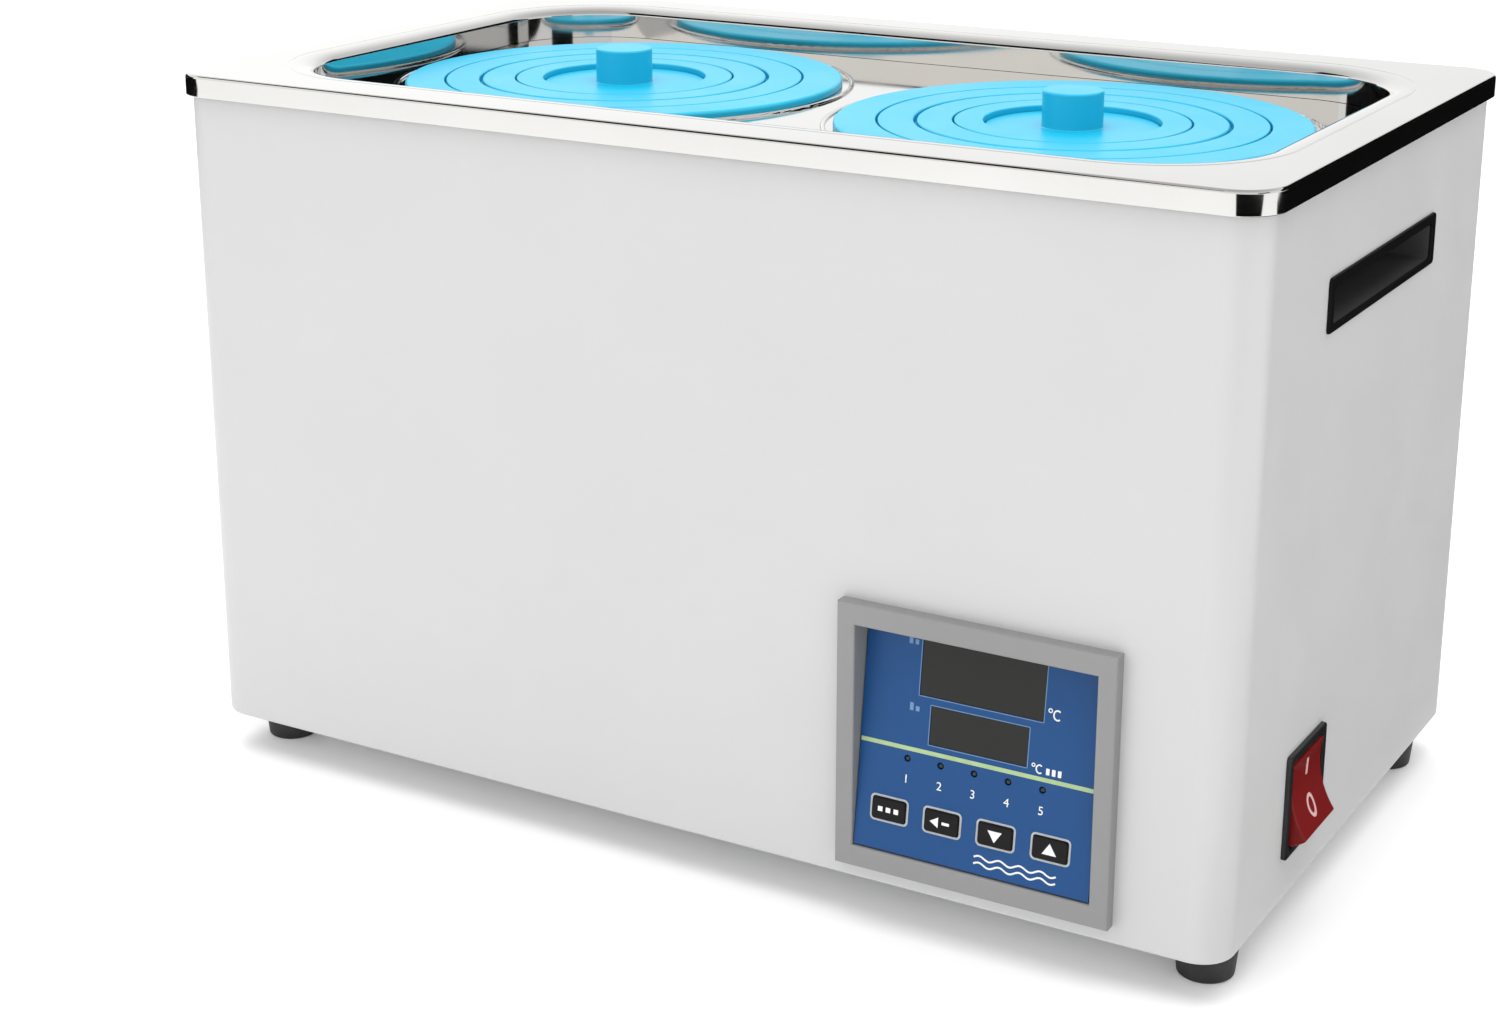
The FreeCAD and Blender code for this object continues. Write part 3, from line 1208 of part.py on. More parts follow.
def make_boards():
    board = new_body("display_board")
    outline = new_sketch(board, "Outline", lift=f"{BOARD_TOP} - board_sheet")
    draw_rectangle(outline, "board_width", "board_height")
    pad(board, outline, "board_sheet")
    stand_up(board)

    modules = []
    for name, width, height, level in DISPLAYS:
        wide, tall = f"{width} - 2 * module_inset", f"{height} - 2 * module_inset"
        depth = "board_back - face_sheet - module_gap"
        modules.append(centred_box("0", f"({level})", BOARD_TOP, wide, tall, depth))
    stand_up(keep(group(modules), "display_modules"))

    switches = []
    key_back = "(face_sheet + key_lip_sheet + key_stem)"
    for index in range(KEY_COUNT):
        base = centred_box(key_x(index), "key_v", BOARD_TOP, "tact_width", "tact_width", "tact_height")
        stroke = f"board_back - tact_height - {key_back} - key_travel - key_slack"
        plunger = rod(key_x(index), "key_v", f"{BOARD_TOP} + tact_height", "key_stem_radius", stroke)
        switches.append(fuse(base, plunger))
    stand_up(keep(group(switches), "key_switches"))


def make_controller():
    front = f"({FRONT} + frame_depth)"
    x, z = "panel_x - case_width / 2", "panel_z - case_height / 2"
    shell = box(x, front, z, "case_width", "case_depth", "case_height")
    hollow = box(
        f"{x} + case_wall",
        f"{front} - 1",
        f"{z} + case_wall",
        "case_width - 2 * case_wall",
        "case_depth - case_wall + 1",
        "case_height - 2 * case_wall",
    )
    keep(cut(shell, hollow), "controller_case")
    back = f"({front} + case_depth)"
    corner = "panel_x - terminal_width / 2", back, "panel_z - terminal_height / 2"
    block = box(*corner, "terminal_width", "terminal_depth", "terminal_height")
    holes = []
    for step in range(TERMINAL_WAYS):
        middle = f"panel_x + ({step} - {TERMINAL_WAYS - 1} / 2) * terminal_pitch"
        start = f"{back} + terminal_floor"
        holes.append(rod(middle, start, "panel_z", "terminal_hole", "terminal_depth", "Y"))
    keep(cut(block, *holes), "controller_terminals")


# Mains switch on the right side


def make_switch():
    y, z = "rocker_y", "rocker_z"
    cavity_width = "(switch_width - 2 * switch_border)"
    cavity_height = "(switch_height - 2 * switch_border)"
    body = new_body("switch_body")
    block = new_sketch(body, "Block", "YZ_Plane", f"{SIDE} - switch_depth")
    inset = "2 * border_lap - 2 * opening_gap"
    draw_rectangle(block, f"switch_width - {inset}", f"switch_height - {inset}", y, z)
    pad(body, block, "switch_depth")
    bezel = new_sketch(body, "Bezel", "YZ_Plane", SIDE)
    draw_rounded(bezel, "switch_width", "switch_height", "switch_corner", y, z)
    pad(body, bezel, "switch_proud")
    cavity = new_sketch(body, "Cavity", "YZ_Plane", f"{SIDE} - pivot_in - rocker_room")
    draw_rectangle(cavity, cavity_width, cavity_height, y, z)
    pocket(body, cavity, "rocker_room + pivot_in + 2 * switch_proud")
    round_edges(body, "switch_edge", edge_at(f"{SIDE} + switch_proud", axis="X"))
    bore = new_sketch(body, "TrunnionBore", "XZ_Plane", f"-{y}")
    draw_circle(bore, "pivot_radius + pivot_gap", f"{SIDE} - pivot_in", z)
    pocket(body, bore, f"{cavity_width} + 3 * trunnion_bite", None)

    tabs = []
    for sy in (-1, 1):
        for sz in (-1, 1):
            tab_y = f"{y} + {sy} * switch_tab_y - tab_sheet / 2"
            tab_z = f"{z} + {sz} * switch_tab_z - tab_width / 2"
            start = f"{SIDE} - switch_depth - switch_tab_length"
            tabs.append(box(start, tab_y, tab_z, "switch_tab_length", "tab_sheet", "tab_width"))
    keep(group(tabs), "switch_tabs")

    rocker = new_body("power_rocker")
    section = new_sketch(rocker, "Section", "XZ_Plane")
    draw_rocker(section)
    blade = pad(rocker, section, f"{cavity_width} - 2 * rocker_gap")
    blade.SideType = "Symmetric"
    pins = new_sketch(rocker, "Trunnions", "XZ_Plane")
    draw_circle(pins, "pivot_radius")
    shaft = pad(rocker, pins, f"{cavity_width} + 2 * trunnion_bite")
    shaft.SideType = "Symmetric"
    blade_side = f"{cavity_width} / 2 - rocker_gap"
    outer_edges = (edge_at(blade_side, axis="Y"), edge_at(f"-({blade_side})", axis="Y"))
    longest_small_edge = number("2 * rocker_keel")
    round_edges(
        rocker,
        "rocker_edge",
        lambda edge: edge.Length > longest_small_edge and any(test(edge) for test in outer_edges),
    )
    place(rocker, f"{SIDE} - pivot_in", y, z, (0, 1, 0), "-rocker_tilt")


def draw_rocker(sketch):
    """Side view of the rocker about its pivot: two sloped faces, round ends and a narrow underside."""
    end_x = "(rocker_rise + rocker_length * sin(1deg * rocker_tilt))"
    end_y = "(rocker_length * cos(1deg * rocker_tilt))"
    reach = f"sqrt({end_x}^2 + {end_y}^2)"
    waist_x = f"({reach} * cos(1deg * rocker_sweep))"
    waist_y = f"({reach} * sin(1deg * rocker_sweep))"
    places = [
        (end_x, f"-{end_y}"),
        ("rocker_rise", "0"),
        (end_x, end_y),
        (waist_x, waist_y),
        ("-rocker_under", "rocker_keel"),
        ("-rocker_under", "-rocker_keel"),
        (waist_x, f"-{waist_y}"),
    ]
    arcs = (2, 6)
    spots = [FreeCAD.Vector(number(x), number(y), 0) for x, y in places]
    circle = Part.Circle(FreeCAD.Vector(), FreeCAD.Vector(0, 0, 1), number(reach))
    start = math.atan2(spots[2].y, spots[2].x)
    end = math.radians(number("rocker_sweep"))
    for step, spot in enumerate(spots):
        following = spots[(step + 1) % len(spots)]
        line = Part.LineSegment(spot, following)
        if step == arcs[0]:
            line = Part.ArcOfCircle(circle, start, end)
        if step == arcs[1]:
            line = Part.ArcOfCircle(circle, -end, -start)
        sketch.addGeometry(line, False)
    for step in range(len(spots)):
        following = (step + 1) % len(spots)
        sketch.addConstraint(Sketcher.Constraint("Coincident", step, 2, following, 1))
    for arc in arcs:
        sketch.addConstraint(Sketcher.Constraint("Coincident", arc, 3, -1, 1))
    for step in (0, 1, 2, 4, 5):
        fix_point(sketch, step, 1, *places[step])
    for step in (3, 6):
        fix(sketch, "DistanceX", -1, 1, step, 1, size=waist_x)


# Mains inlet on the back


def make_inlet():
    """Socket, pins, screws, fuse drawer and fuse; the XZ plane's normal points to the front."""
    x, z = "inlet_x", "inlet_z"
    lift = "-housing_depth / 2"
    body = new_body("inlet_socket")
    block = new_sketch(body, "Block", "XZ_Plane", lift)
    draw_rectangle(block, "inlet_block", "inlet_height - 2 * border_lap - 2 * opening_gap", x, z)
    pad(body, block, "inlet_block_depth")
    border = new_sketch(body, "Border", "XZ_Plane", f"{lift} - inlet_proud")
    draw_rounded(border, "inlet_width", "inlet_height", "inlet_corner", x, z)
    pad(body, border, "inlet_proud")
    round_edges(body, "inlet_edge", edge_at(f"{BACK} + inlet_proud", axis="Y"))
    socket = new_sketch(body, "Socket", "XZ_Plane", f"{lift} + socket_depth")
    left, right = f"{x} - socket_width / 2", f"{x} + socket_width / 2"
    low, high = f"{z} - socket_low", f"{z} - socket_low + socket_height"
    shoulder = f"{high} - socket_chamfer"
    corners = [(left, low), (right, low), (right, shoulder), (f"{right} - socket_chamfer", high)]
    corners += [(f"{left} + socket_chamfer", high), (left, shoulder)]
    draw_outline(socket, corners)
    pocket(body, socket, "2 * socket_depth", False)
    slot = new_sketch(body, "DrawerSlot", "XZ_Plane", f"{lift} + drawer_depth + drawer_gap")
    slot_width, slot_height = "drawer_width + 2 * drawer_gap", "drawer_height + 2 * drawer_gap"
    draw_rectangle(slot, slot_width, slot_height, x, f"{z} - drawer_drop")
    pocket(body, slot, "2 * drawer_depth", False)
    holes = new_sketch(body, "PinsAndScrews", "XZ_Plane", lift)
    for screw_x in INLET_SCREW_PLACES:
        draw_circle(holes, "inlet_screw_radius + screw_gap", screw_x, z)
    for pin_x, pin_z in INLET_PIN_PLACES:
        draw_rectangle(holes, "pin_width", "pin_height", pin_x, pin_z)
    pocket(body, holes, "4 * inlet_block_depth", None)
    sink_lift = f"{lift} - inlet_proud + inlet_head_height + screw_gap / 2"
    sinks = new_sketch(body, "ScrewSinks", "XZ_Plane", sink_lift)
    for screw_x in INLET_SCREW_PLACES:
        draw_circle(sinks, "inlet_head_radius + screw_gap", screw_x, z)
    pocket(body, sinks, "2 * inlet_head_height", False)

    pins = []
    for pin_x, pin_z in INLET_PIN_PLACES:
        corner = f"{pin_x} - pin_width / 2", f"{BACK} - pin_reach", f"{pin_z} - pin_height / 2"
        pins.append(box(*corner, "pin_width", "pin_reach - pin_sink", "pin_height"))
    keep(group(pins), "inlet_pins")

    screws = []
    head_y = f"({BACK} + inlet_proud - inlet_head_height)"
    for screw_x in INLET_SCREW_PLACES:
        head = doc.addObject("Part::Cone", "Head")
        bind(head, Radius1="inlet_screw_radius", Radius2="inlet_head_radius", Height="inlet_head_height")
        place(head, screw_x, head_y, z, (1, 0, 0), "-90")
        shank_length = f"{head_y} - {BACK} + inlet_screw_reach"
        shank = rod(screw_x, f"{BACK} - inlet_screw_reach", z, "inlet_screw_radius", shank_length, "Y")
        nut_y = f"{BACK} - housing_sheet - inlet_nut_height"
        nut = hexagon(screw_x, nut_y, z, "inlet_nut", "inlet_nut_height", "Y")
        place_of_groove = screw_x, f"{BACK} + inlet_proud", f"{z} - groove_width / 2"
        groove = centred_box(*place_of_groove, "inlet_nut", "cross_depth", "groove_width")
        screws.append(cut(fuse(head, shank, nut), groove))
    keep(group(screws), "inlet_screws")

    middle = f"({z} - drawer_drop)"
    plate_width, plate_height = "(drawer_width + 2 * drawer_lap)", "(drawer_height + 2 * drawer_lap)"
    plate_y = f"({BACK} + inlet_proud)"
    plate_low = f"{middle} - {plate_height} / 2"
    plate = box(f"{x} - {plate_width} / 2", plate_y, plate_low, plate_width, "drawer_plate", plate_height)
    tray_length = "drawer_depth + inlet_proud + drawer_plate / 2"
    tray_corner = f"{x} - drawer_width / 2", f"{BACK} - drawer_depth", f"{middle} - drawer_height / 2"
    tray = box(*tray_corner, "drawer_width", tray_length, "drawer_height")
    fuse_y = f"({BACK} - fuse_y)"
    room = "(fuse_radius + fuse_room)"
    trough_corner = f"{x} - fuse_length / 2 - drawer_gap", f"{fuse_y} - {room}", f"{middle} - fuse_radius"
    trough = box(*trough_corner, "fuse_length + 2 * drawer_gap", f"2 * {room}", "drawer_height")
    grip_corner = f"{x} - grip_width / 2", f"{plate_y} - 1", f"{middle} + {plate_height} / 2 - grip_height"
    grip = box(*grip_corner, "grip_width", "drawer_plate + 2", "grip_height + 1")
    keep(cut(fuse(plate, tray), trough, grip), "fuse_drawer")
    fuse_start = f"{x} - fuse_length / 2", fuse_y, f"{middle} + drawer_gap"
    keep(rod(*fuse_start, "fuse_radius", "fuse_length", "X"), "fuse")


# Power parts on the base plate


def make_power_parts():
    x, y = "relay_x", "relay_y"
    screw_places = [f"({x} + {side} * relay_screw_x)" for side in (-1, 1)]
    block = centred_box(x, y, BASE_TOP, "relay_width", "relay_depth", "relay_height")
    plate = centred_box(x, y, BASE_TOP, "relay_plate_width", "relay_depth", "relay_plate")
    notches = []
    holes = []
    screws = []
    for side, place_x in zip((-1, 1), screw_places):
        notch_x = f"({x} + {side} * (relay_width - relay_notch) / 2)"
        notch_height = "relay_height + 1"
        notches.append(centred_box(notch_x, y, BASE_TOP, "relay_notch", "relay_notch_depth", notch_height))
        holes.append(rod(place_x, y, f"{BASE_TOP} - 1", "foot_screw_radius + screw_gap", "relay_plate + 2"))
        head = rod(place_x, y, f"{BASE_TOP} + relay_plate", "relay_head_radius", "relay_head_height")
        screws.append(fuse(head, rod(place_x, y, BASE_TOP, "foot_screw_radius", "relay_plate")))
    keep(cut(fuse(cut(block, *notches), plate), *holes), "solid_state_relay")
    keep(group(screws), "relay_screws")

    x, y = "earth_x", "earth_y"
    nut_z = f"{BASE_TOP} + earth_nut_rise"
    stud = fuse(
        rod(x, y, BASE_TOP, "foot_screw_radius", "earth_height"),
        hexagon(x, y, BASE_TOP, "nut_across", "earth_base"),
    )
    hole = rod(x, y, f"{nut_z} - 1", "foot_screw_radius + thread_gap", "nut_height + 2")
    keep(group([stud, cut(hexagon(x, y, nut_z, "nut_across", "nut_height"), hole)]), "earth_stud")

    x, y = "strip_x", "strip_y"
    strip = centred_box(x, y, BASE_TOP, "strip_width", "strip_depth", "strip_height")
    wells = []
    for step in range(STRIP_WAYS):
        for side in (-1, 1):
            well_x = f"{x} + ({step} - {STRIP_WAYS - 1} / 2) * strip_pitch"
            well_y = f"{y} + {side} * strip_well_y"
            wells.append(rod(well_x, well_y, f"{BASE_TOP} + strip_floor", "strip_well", "strip_height"))
    keep(cut(strip, *wells), "terminal_strip")


def make_wires():
    """Wires: inlet to switch, relay to heater, and probe to controller."""
    bend = number("wire_bend")
    radius = number("wire_radius")
    pin_z = "(inlet_z + pin_low)"
    tab_x = f"({SIDE} - switch_depth - switch_tab_length)"
    tab_z = "(rocker_z + switch_tab_z)"
    pin_end = f"({BACK} - pin_reach)"
    behind_tab = 10
    live = [
        ("inlet_x + pin_x", pin_end, pin_z),
        ("inlet_x + pin_x", f"{pin_end} - 36", pin_z),
        (f"{tab_x} - {behind_tab}", f"{pin_end} - 76", tab_z),
        (f"{tab_x} - {behind_tab}", "rocker_y + switch_tab_y", tab_z),
        (tab_x, "rocker_y + switch_tab_y", tab_z),
    ]
    behind_tab = 3.6
    above_tab = f"{tab_z} + 16"
    neutral = [
        ("inlet_x - pin_x", pin_end, pin_z),
        ("inlet_x - pin_x", f"{pin_end} - 26", pin_z),
        (f"{tab_x} - {behind_tab}", f"{pin_end} - 66", above_tab),
        (f"{tab_x} - {behind_tab}", "rocker_y - switch_tab_y", above_tab),
        (f"{tab_x} - {behind_tab}", "rocker_y - switch_tab_y", tab_z),
        (tab_x, "rocker_y - switch_tab_y", tab_z),
    ]
    shaped("mains_wires", [tube(live, radius, bend), tube(neutral, radius, bend)])

    heater = []
    for side in (-1, 1):
        end_x = f"relay_x + {side} * 17"
        end_y = f"relay_y + {side} * 12"
        route = [
            ("heater_reach", f"{side} * heater_y", "heater_tail"),
            ("heater_reach", f"{side} * heater_y", "heater_tail - 14"),
            (end_x, f"{end_y} - 4", "heater_tail - 18"),
            (end_x, end_y, f"{BASE_TOP} + relay_height + wire_radius / 2"),
        ]
        heater.append(tube(route, radius, bend))
    shaped("heater_wires", heater)

    start_x = f"({TANK_WIDTH} / 2 + probe_tail)"
    low = f"{PROBE_Z} - 24"
    lead = [
        (start_x, "0", PROBE_Z),
        (f"{start_x} + 7", "0", PROBE_Z),
        (f"{start_x} + 7", "0", low),
        ("panel_x + 10", "0", low),
        ("panel_x + 10", "-20", "panel_z + 2"),
        ("panel_x + 3.5", f"{FRONT} + frame_depth + case_depth + terminal_depth", "panel_z"),
    ]
    shaped("probe_lead", [tube(lead, number("lead_radius"), number("lead_bend"))])


make_housing()
make_base()
make_feet()
make_deck()
make_tank()
make_insulation()
make_heater()
make_probe()
make_shelf()
make_cutout()
make_cover()
for lid_side, lid_name in ((-1, "left"), (1, "right")):
    make_lid(lid_side, lid_name)
make_handles()
make_panel_frame()
make_face()
make_keys()
make_boards()
make_controller()
make_switch()
make_inlet()
make_power_parts()
make_wires()
doc.recompute()

for item in doc.Objects:
    if "Invalid" in item.State or "Error" in item.State:
        raise ValueError(f"{item.Name} ({item.Label}) failed: {item.State}")
os.makedirs("parts", exist_ok=True)
for item in sub_parts:
    if item.Shape.isNull() or not item.Shape.isValid() or not item.Shape.Solids:
        raise ValueError(f"{item.Label} has no valid solid")
for item in sub_parts:
    item.Shape.exportStep(f"parts/{item.Label}.step")
print(len(sub_parts), "sub-parts,", len(doc.Objects), "objects")
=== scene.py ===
import bpy
import json
import math
from mathutils import Matrix, Vector


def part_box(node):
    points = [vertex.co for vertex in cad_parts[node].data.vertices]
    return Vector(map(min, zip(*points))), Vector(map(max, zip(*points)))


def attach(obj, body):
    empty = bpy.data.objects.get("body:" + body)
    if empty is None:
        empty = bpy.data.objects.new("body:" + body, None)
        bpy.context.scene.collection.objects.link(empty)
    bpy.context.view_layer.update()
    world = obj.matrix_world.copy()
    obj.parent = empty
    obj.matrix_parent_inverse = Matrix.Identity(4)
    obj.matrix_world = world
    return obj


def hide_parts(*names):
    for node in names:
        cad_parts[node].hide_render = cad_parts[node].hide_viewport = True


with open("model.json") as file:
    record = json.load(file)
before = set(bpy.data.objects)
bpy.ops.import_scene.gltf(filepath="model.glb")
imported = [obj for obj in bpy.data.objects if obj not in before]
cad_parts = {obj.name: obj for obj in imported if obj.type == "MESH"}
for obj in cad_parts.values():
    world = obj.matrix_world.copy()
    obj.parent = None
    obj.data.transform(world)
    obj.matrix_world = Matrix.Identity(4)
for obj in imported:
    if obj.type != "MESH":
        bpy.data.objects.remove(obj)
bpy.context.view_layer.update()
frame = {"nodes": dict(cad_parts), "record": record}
joints = {joint["name"]: joint for joint in frame["record"]["behaviour"]["joints"]}
MM = 0.001  # sizes below are in millimetres unless a comment says otherwise


def middle_of(label):
    """Middle of a CAD node's box, in metres."""
    low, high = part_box(label)
    return (Vector(low) + Vector(high)) / 2


# Materials

SHADE_LOW, SHADE_HIGH = 0.35, 0.65  # the part of a noise's range over which the shade changes
GLOSS_LOW, GLOSS_HIGH = 0.3, 0.7  # the same for the gloss


def new_material(name, colour, roughness, metallic=0.0, **sockets):
    """Principled material; returns it with its node tree and shader."""
    material = bpy.data.materials.new(name)
    material.use_nodes = True
    tree = material.node_tree
    shader = tree.nodes["Principled BSDF"]
    shader.inputs["Base Color"].default_value = (*colour, 1.0)
    shader.inputs["Roughness"].default_value = roughness
    shader.inputs["Metallic"].default_value = metallic
    for socket, value in sockets.items():
        shader.inputs[socket.replace("_", " ")].default_value = value
    material.diffuse_color = (*colour, 1.0)
    return material, tree, shader


def noise(tree, scale, detail=3.0, stretch=None):
    """Noise over the object's own coordinates, in metres; stretch draws it out along an axis."""
    place = tree.nodes.new("ShaderNodeTexCoord")
    texture = tree.nodes.new("ShaderNodeTexNoise")
    texture.inputs["Scale"].default_value = scale
    texture.inputs["Detail"].default_value = detail
    source = place.outputs["Object"]
    if stretch:
        mapping = tree.nodes.new("ShaderNodeMapping")
        mapping.inputs["Scale"].default_value = stretch
        tree.links.new(source, mapping.inputs["Vector"])
        source = mapping.outputs["Vector"]
    tree.links.new(source, texture.inputs["Vector"])
    return texture.outputs["Fac"]


def tint(tree, shader, factor, dark, light):
    """Colour that drifts between two shades."""
    ramp = tree.nodes.new("ShaderNodeValToRGB")
    ramp.color_ramp.elements[0].position = SHADE_LOW
    ramp.color_ramp.elements[0].color = (*dark, 1.0)
    ramp.color_ramp.elements[1].position = SHADE_HIGH
    ramp.color_ramp.elements[1].color = (*light, 1.0)
    tree.links.new(factor, ramp.inputs["Fac"])
    tree.links.new(ramp.outputs["Color"], shader.inputs["Base Color"])


def map_range(tree, factor, low, high, to_low, to_high):
    """Factor carried over from one range to another, and held at the ends of both."""
    spread = tree.nodes.new("ShaderNodeMapRange")
    spread.inputs["From Min"].default_value = low
    spread.inputs["From Max"].default_value = high
    spread.inputs["To Min"].default_value = to_low
    spread.inputs["To Max"].default_value = to_high
    tree.links.new(factor, spread.inputs["Value"])
    return spread.outputs["Result"]


def gloss(tree, shader, factor, low, high):
    """Roughness that drifts between two values."""
    roughness = map_range(tree, factor, GLOSS_LOW, GLOSS_HIGH, low, high)
    tree.links.new(roughness, shader.inputs["Roughness"])


def relief(tree, shader, factor, depth):
    """Fine relief of a depth in metres."""
    bump = tree.nodes.new("ShaderNodeBump")
    bump.inputs["Distance"].default_value = depth
    bump.inputs["Strength"].default_value = 1.0
    tree.links.new(factor, bump.inputs["Height"])
    tree.links.new(bump.outputs["Normal"], shader.inputs["Normal"])


def shade(colour, change):
    """Colour made lighter or darker by a share of itself."""
    return tuple(min(1.0, max(0.0, part * (1.0 + change))) for part in colour)


def surface(name, colour, roughness, metallic=0.0, *, drift, depth, patch=22.0, swing=0.04, grain=1600.0,
            stretch=None, **sockets):
    """Material with soft patches of shade and gloss, and a fine grain in its relief.

    drift is the change of shade, swing the change of roughness and depth the height of the grain in metres;
    patch and grain are scales of noise. The patches of gloss are smaller than those of shade, so that the two
    don't fall together.
    """
    material, tree, shader = new_material(name, colour, roughness, metallic, **sockets)
    gloss_patch = patch * 2.3
    tint(tree, shader, noise(tree, patch), shade(colour, -drift), shade(colour, drift))
    gloss(tree, shader, noise(tree, gloss_patch, stretch=stretch), roughness - swing, roughness + swing)
    relief(tree, shader, noise(tree, grain, detail=2.0, stretch=stretch), depth)
    return material


PAINT = surface("Painted_steel", (0.552, 0.557, 0.552), 0.38, drift=0.008, grain=700.0, depth=0.000012)
MIRROR = surface("Polished_steel", (0.63, 0.625, 0.61), 0.07, 1.0, drift=0.02, swing=0.025, grain=30.0,
                 depth=0.00003)
TANK = surface("Satin_steel", (0.60, 0.60, 0.59), 0.28, 1.0, drift=0.05, grain=900.0, depth=0.00002,
               stretch=(0.05, 0.05, 1.0))
LID = surface("Blue_plastic", (0.006, 0.44, 0.66), 0.36, drift=0.015, swing=0.03, grain=1300.0,
              depth=0.000004)
PANEL = surface("Blue_film", (0.003, 0.060, 0.205), 0.45, drift=0.04, grain=2600.0, depth=0.000012,
                Specular_IOR_Level=0.3)
GREY = surface("Grey_plastic", (0.245, 0.245, 0.245), 0.45, drift=0.02, grain=2200.0, depth=0.00003)
BLACK = surface("Black_plastic", (0.012, 0.012, 0.013), 0.42, drift=0.15, grain=2500.0, depth=0.00003)
RUBBER = surface("Black_rubber", (0.015, 0.015, 0.016), 0.62, drift=0.2, patch=150.0, grain=1800.0,
                 depth=0.00004)
SMOKE = surface("Smoked_window", (0.011, 0.0108, 0.010), 0.2, drift=0.03, swing=0.02, depth=0.000002,
                Specular_IOR_Level=0.28)
RED = surface("Red_plastic", (0.175, 0.0075, 0.008), 0.34, drift=0.03, swing=0.02, grain=300.0,
              depth=0.000004, Specular_IOR_Level=0.18)
# Black plastic of the handle's border, made darker than the other black plastic: painted shade on the border
CUP_BORDER_PAINTED_SHADE = surface("Black_border_painted_shade", (0.003, 0.003, 0.0032), 0.5, drift=0.1, grain=2500.0, depth=0.00002,
                     Specular_IOR_Level=0.12)
# The same black plastic made lighter inside the hollow: painted light on the lit floor of the hollow
CUP_INSIDE_PAINTED_LIGHT = surface("Black_plastic_painted_lit", (0.045, 0.045, 0.046), 0.6, drift=0.1, grain=2500.0, depth=0.00003)
KEY = surface("Key_plastic", (0.009, 0.0095, 0.009), 0.45, drift=0.1, grain=2600.0, depth=0.00002,
              Specular_IOR_Level=0.12)
WHITE = surface("White_print", (0.80, 0.80, 0.80), 0.5, drift=0.05, patch=600.0, depth=0.000005)
OUTLINE = surface("Grey_print", (0.42, 0.44, 0.46), 0.5, drift=0.06, patch=600.0, depth=0.000005)
MARK = surface("Pink_white_print", (0.66, 0.40, 0.39), 0.45, drift=0.05, patch=500.0, depth=0.000002)
LINE = surface("Yellow_green_print", (0.36, 0.50, 0.25), 0.5, drift=0.06, patch=300.0, depth=0.000005)
PALE_BLUE = surface("Pale_blue_print", (0.13, 0.25, 0.45), 0.5, drift=0.05, patch=300.0, depth=0.000005)
LED = surface("Unlit_lens", (0.010, 0.016, 0.014), 0.25, drift=0.1, patch=500.0, depth=0.000002)
FOAM = surface("Seal_foam", (0.02, 0.02, 0.02), 0.85, drift=0.2, patch=400.0, grain=1200.0, depth=0.0001)
ZINC = surface("Bright_zinc", (0.62, 0.63, 0.64), 0.3, 1.0, drift=0.08, patch=300.0, grain=2500.0,
               depth=0.00001)
BRASS = surface("Brass", (0.70, 0.50, 0.22), 0.3, 1.0, drift=0.08, patch=200.0, grain=2500.0, depth=0.00001)
HEATER = surface("Heater_tube", (0.42, 0.40, 0.37), 0.35, 1.0, drift=0.12, patch=60.0, depth=0.00002)
SILICONE = surface("Silicone", (0.42, 0.08, 0.05), 0.5, drift=0.06, patch=200.0, depth=0.00002)
BOARD = surface("Circuit_board", (0.015, 0.13, 0.05), 0.35, drift=0.1, patch=200.0, depth=0.00002)
MODULE = surface("Module_black", (0.03, 0.03, 0.03), 0.5, drift=0.1, grain=2200.0, depth=0.00002)
TERMINAL = surface("Terminal_green", (0.04, 0.17, 0.07), 0.42, drift=0.06, grain=1800.0, depth=0.00002)
FUSE = surface("Fuse_glass", (0.75, 0.80, 0.80), 0.08, drift=0.02, swing=0.02, depth=0.000002,
               Transmission_Weight=0.7, IOR=1.5)
RELAY = surface("Relay_cream", (0.62, 0.59, 0.48), 0.4, drift=0.03, grain=1800.0, depth=0.00002)
WIRE = surface("Wire_cover", (0.30, 0.05, 0.03), 0.38, drift=0.06, patch=80.0, depth=0.00001)


def galvanised():
    """Sheet with the flat crystals of a zinc coat."""
    material, tree, shader = new_material("Zinc_coated_sheet", (0.5, 0.51, 0.52), 0.42, 1.0)
    place = tree.nodes.new("ShaderNodeTexCoord")
    cells = tree.nodes.new("ShaderNodeTexVoronoi")
    cells.inputs["Scale"].default_value = 140.0
    tree.links.new(place.outputs["Object"], cells.inputs["Vector"])
    tint(tree, shader, cells.outputs["Distance"], (0.42, 0.43, 0.44), (0.58, 0.59, 0.60))
    gloss(tree, shader, noise(tree, 160.0), 0.34, 0.5)
    return material


def glass_wool():
    """Matted fibres."""
    material, tree, shader = new_material("Glass_wool", (0.72, 0.62, 0.32), 0.95)
    fibres = noise(tree, 260.0, detail=8.0, stretch=(1.0, 1.0, 4.0))
    tint(tree, shader, fibres, (0.58, 0.48, 0.22), (0.80, 0.72, 0.42))
    relief(tree, shader, fibres, 0.0015)
    return material


FINISHES = {
    "housing_paint": PAINT, "base_steel": galvanised(), "polished_steel": MIRROR, "tank_steel": TANK,
    "seal_foam": FOAM, "black_rubber": RUBBER, "zinc_steel": ZINC, "brass": BRASS, "glass_wool": glass_wool(),
    "heater_steel": HEATER, "silicone": SILICONE, "black_plastic": BLACK, "grey_plastic": GREY,
    "panel_blue": PANEL, "display_window": SMOKE, "indicator": LED, "circuit_board": BOARD,
    "module_black": MODULE, "terminal_plastic": TERMINAL, "rocker_red": RED, "key_black": KEY,
    "fuse_glass": FUSE, "relay_plastic": RELAY, "wire_cover": WIRE, "lid_blue": LID,
}
SLOTS = {part["node"]: part["material_slot"] for part in frame["record"]["subparts"]}
for label, node in frame["nodes"].items():
    node.data.materials.clear()
    node.data.materials.append(FINISHES[SLOTS[label]])


# Mesh building

SMOOTH_ANGLE = 35.0  # degrees; edges that turn further than this stay sharp
ON_AXIS = 1e-6  # a smaller radius counts as none


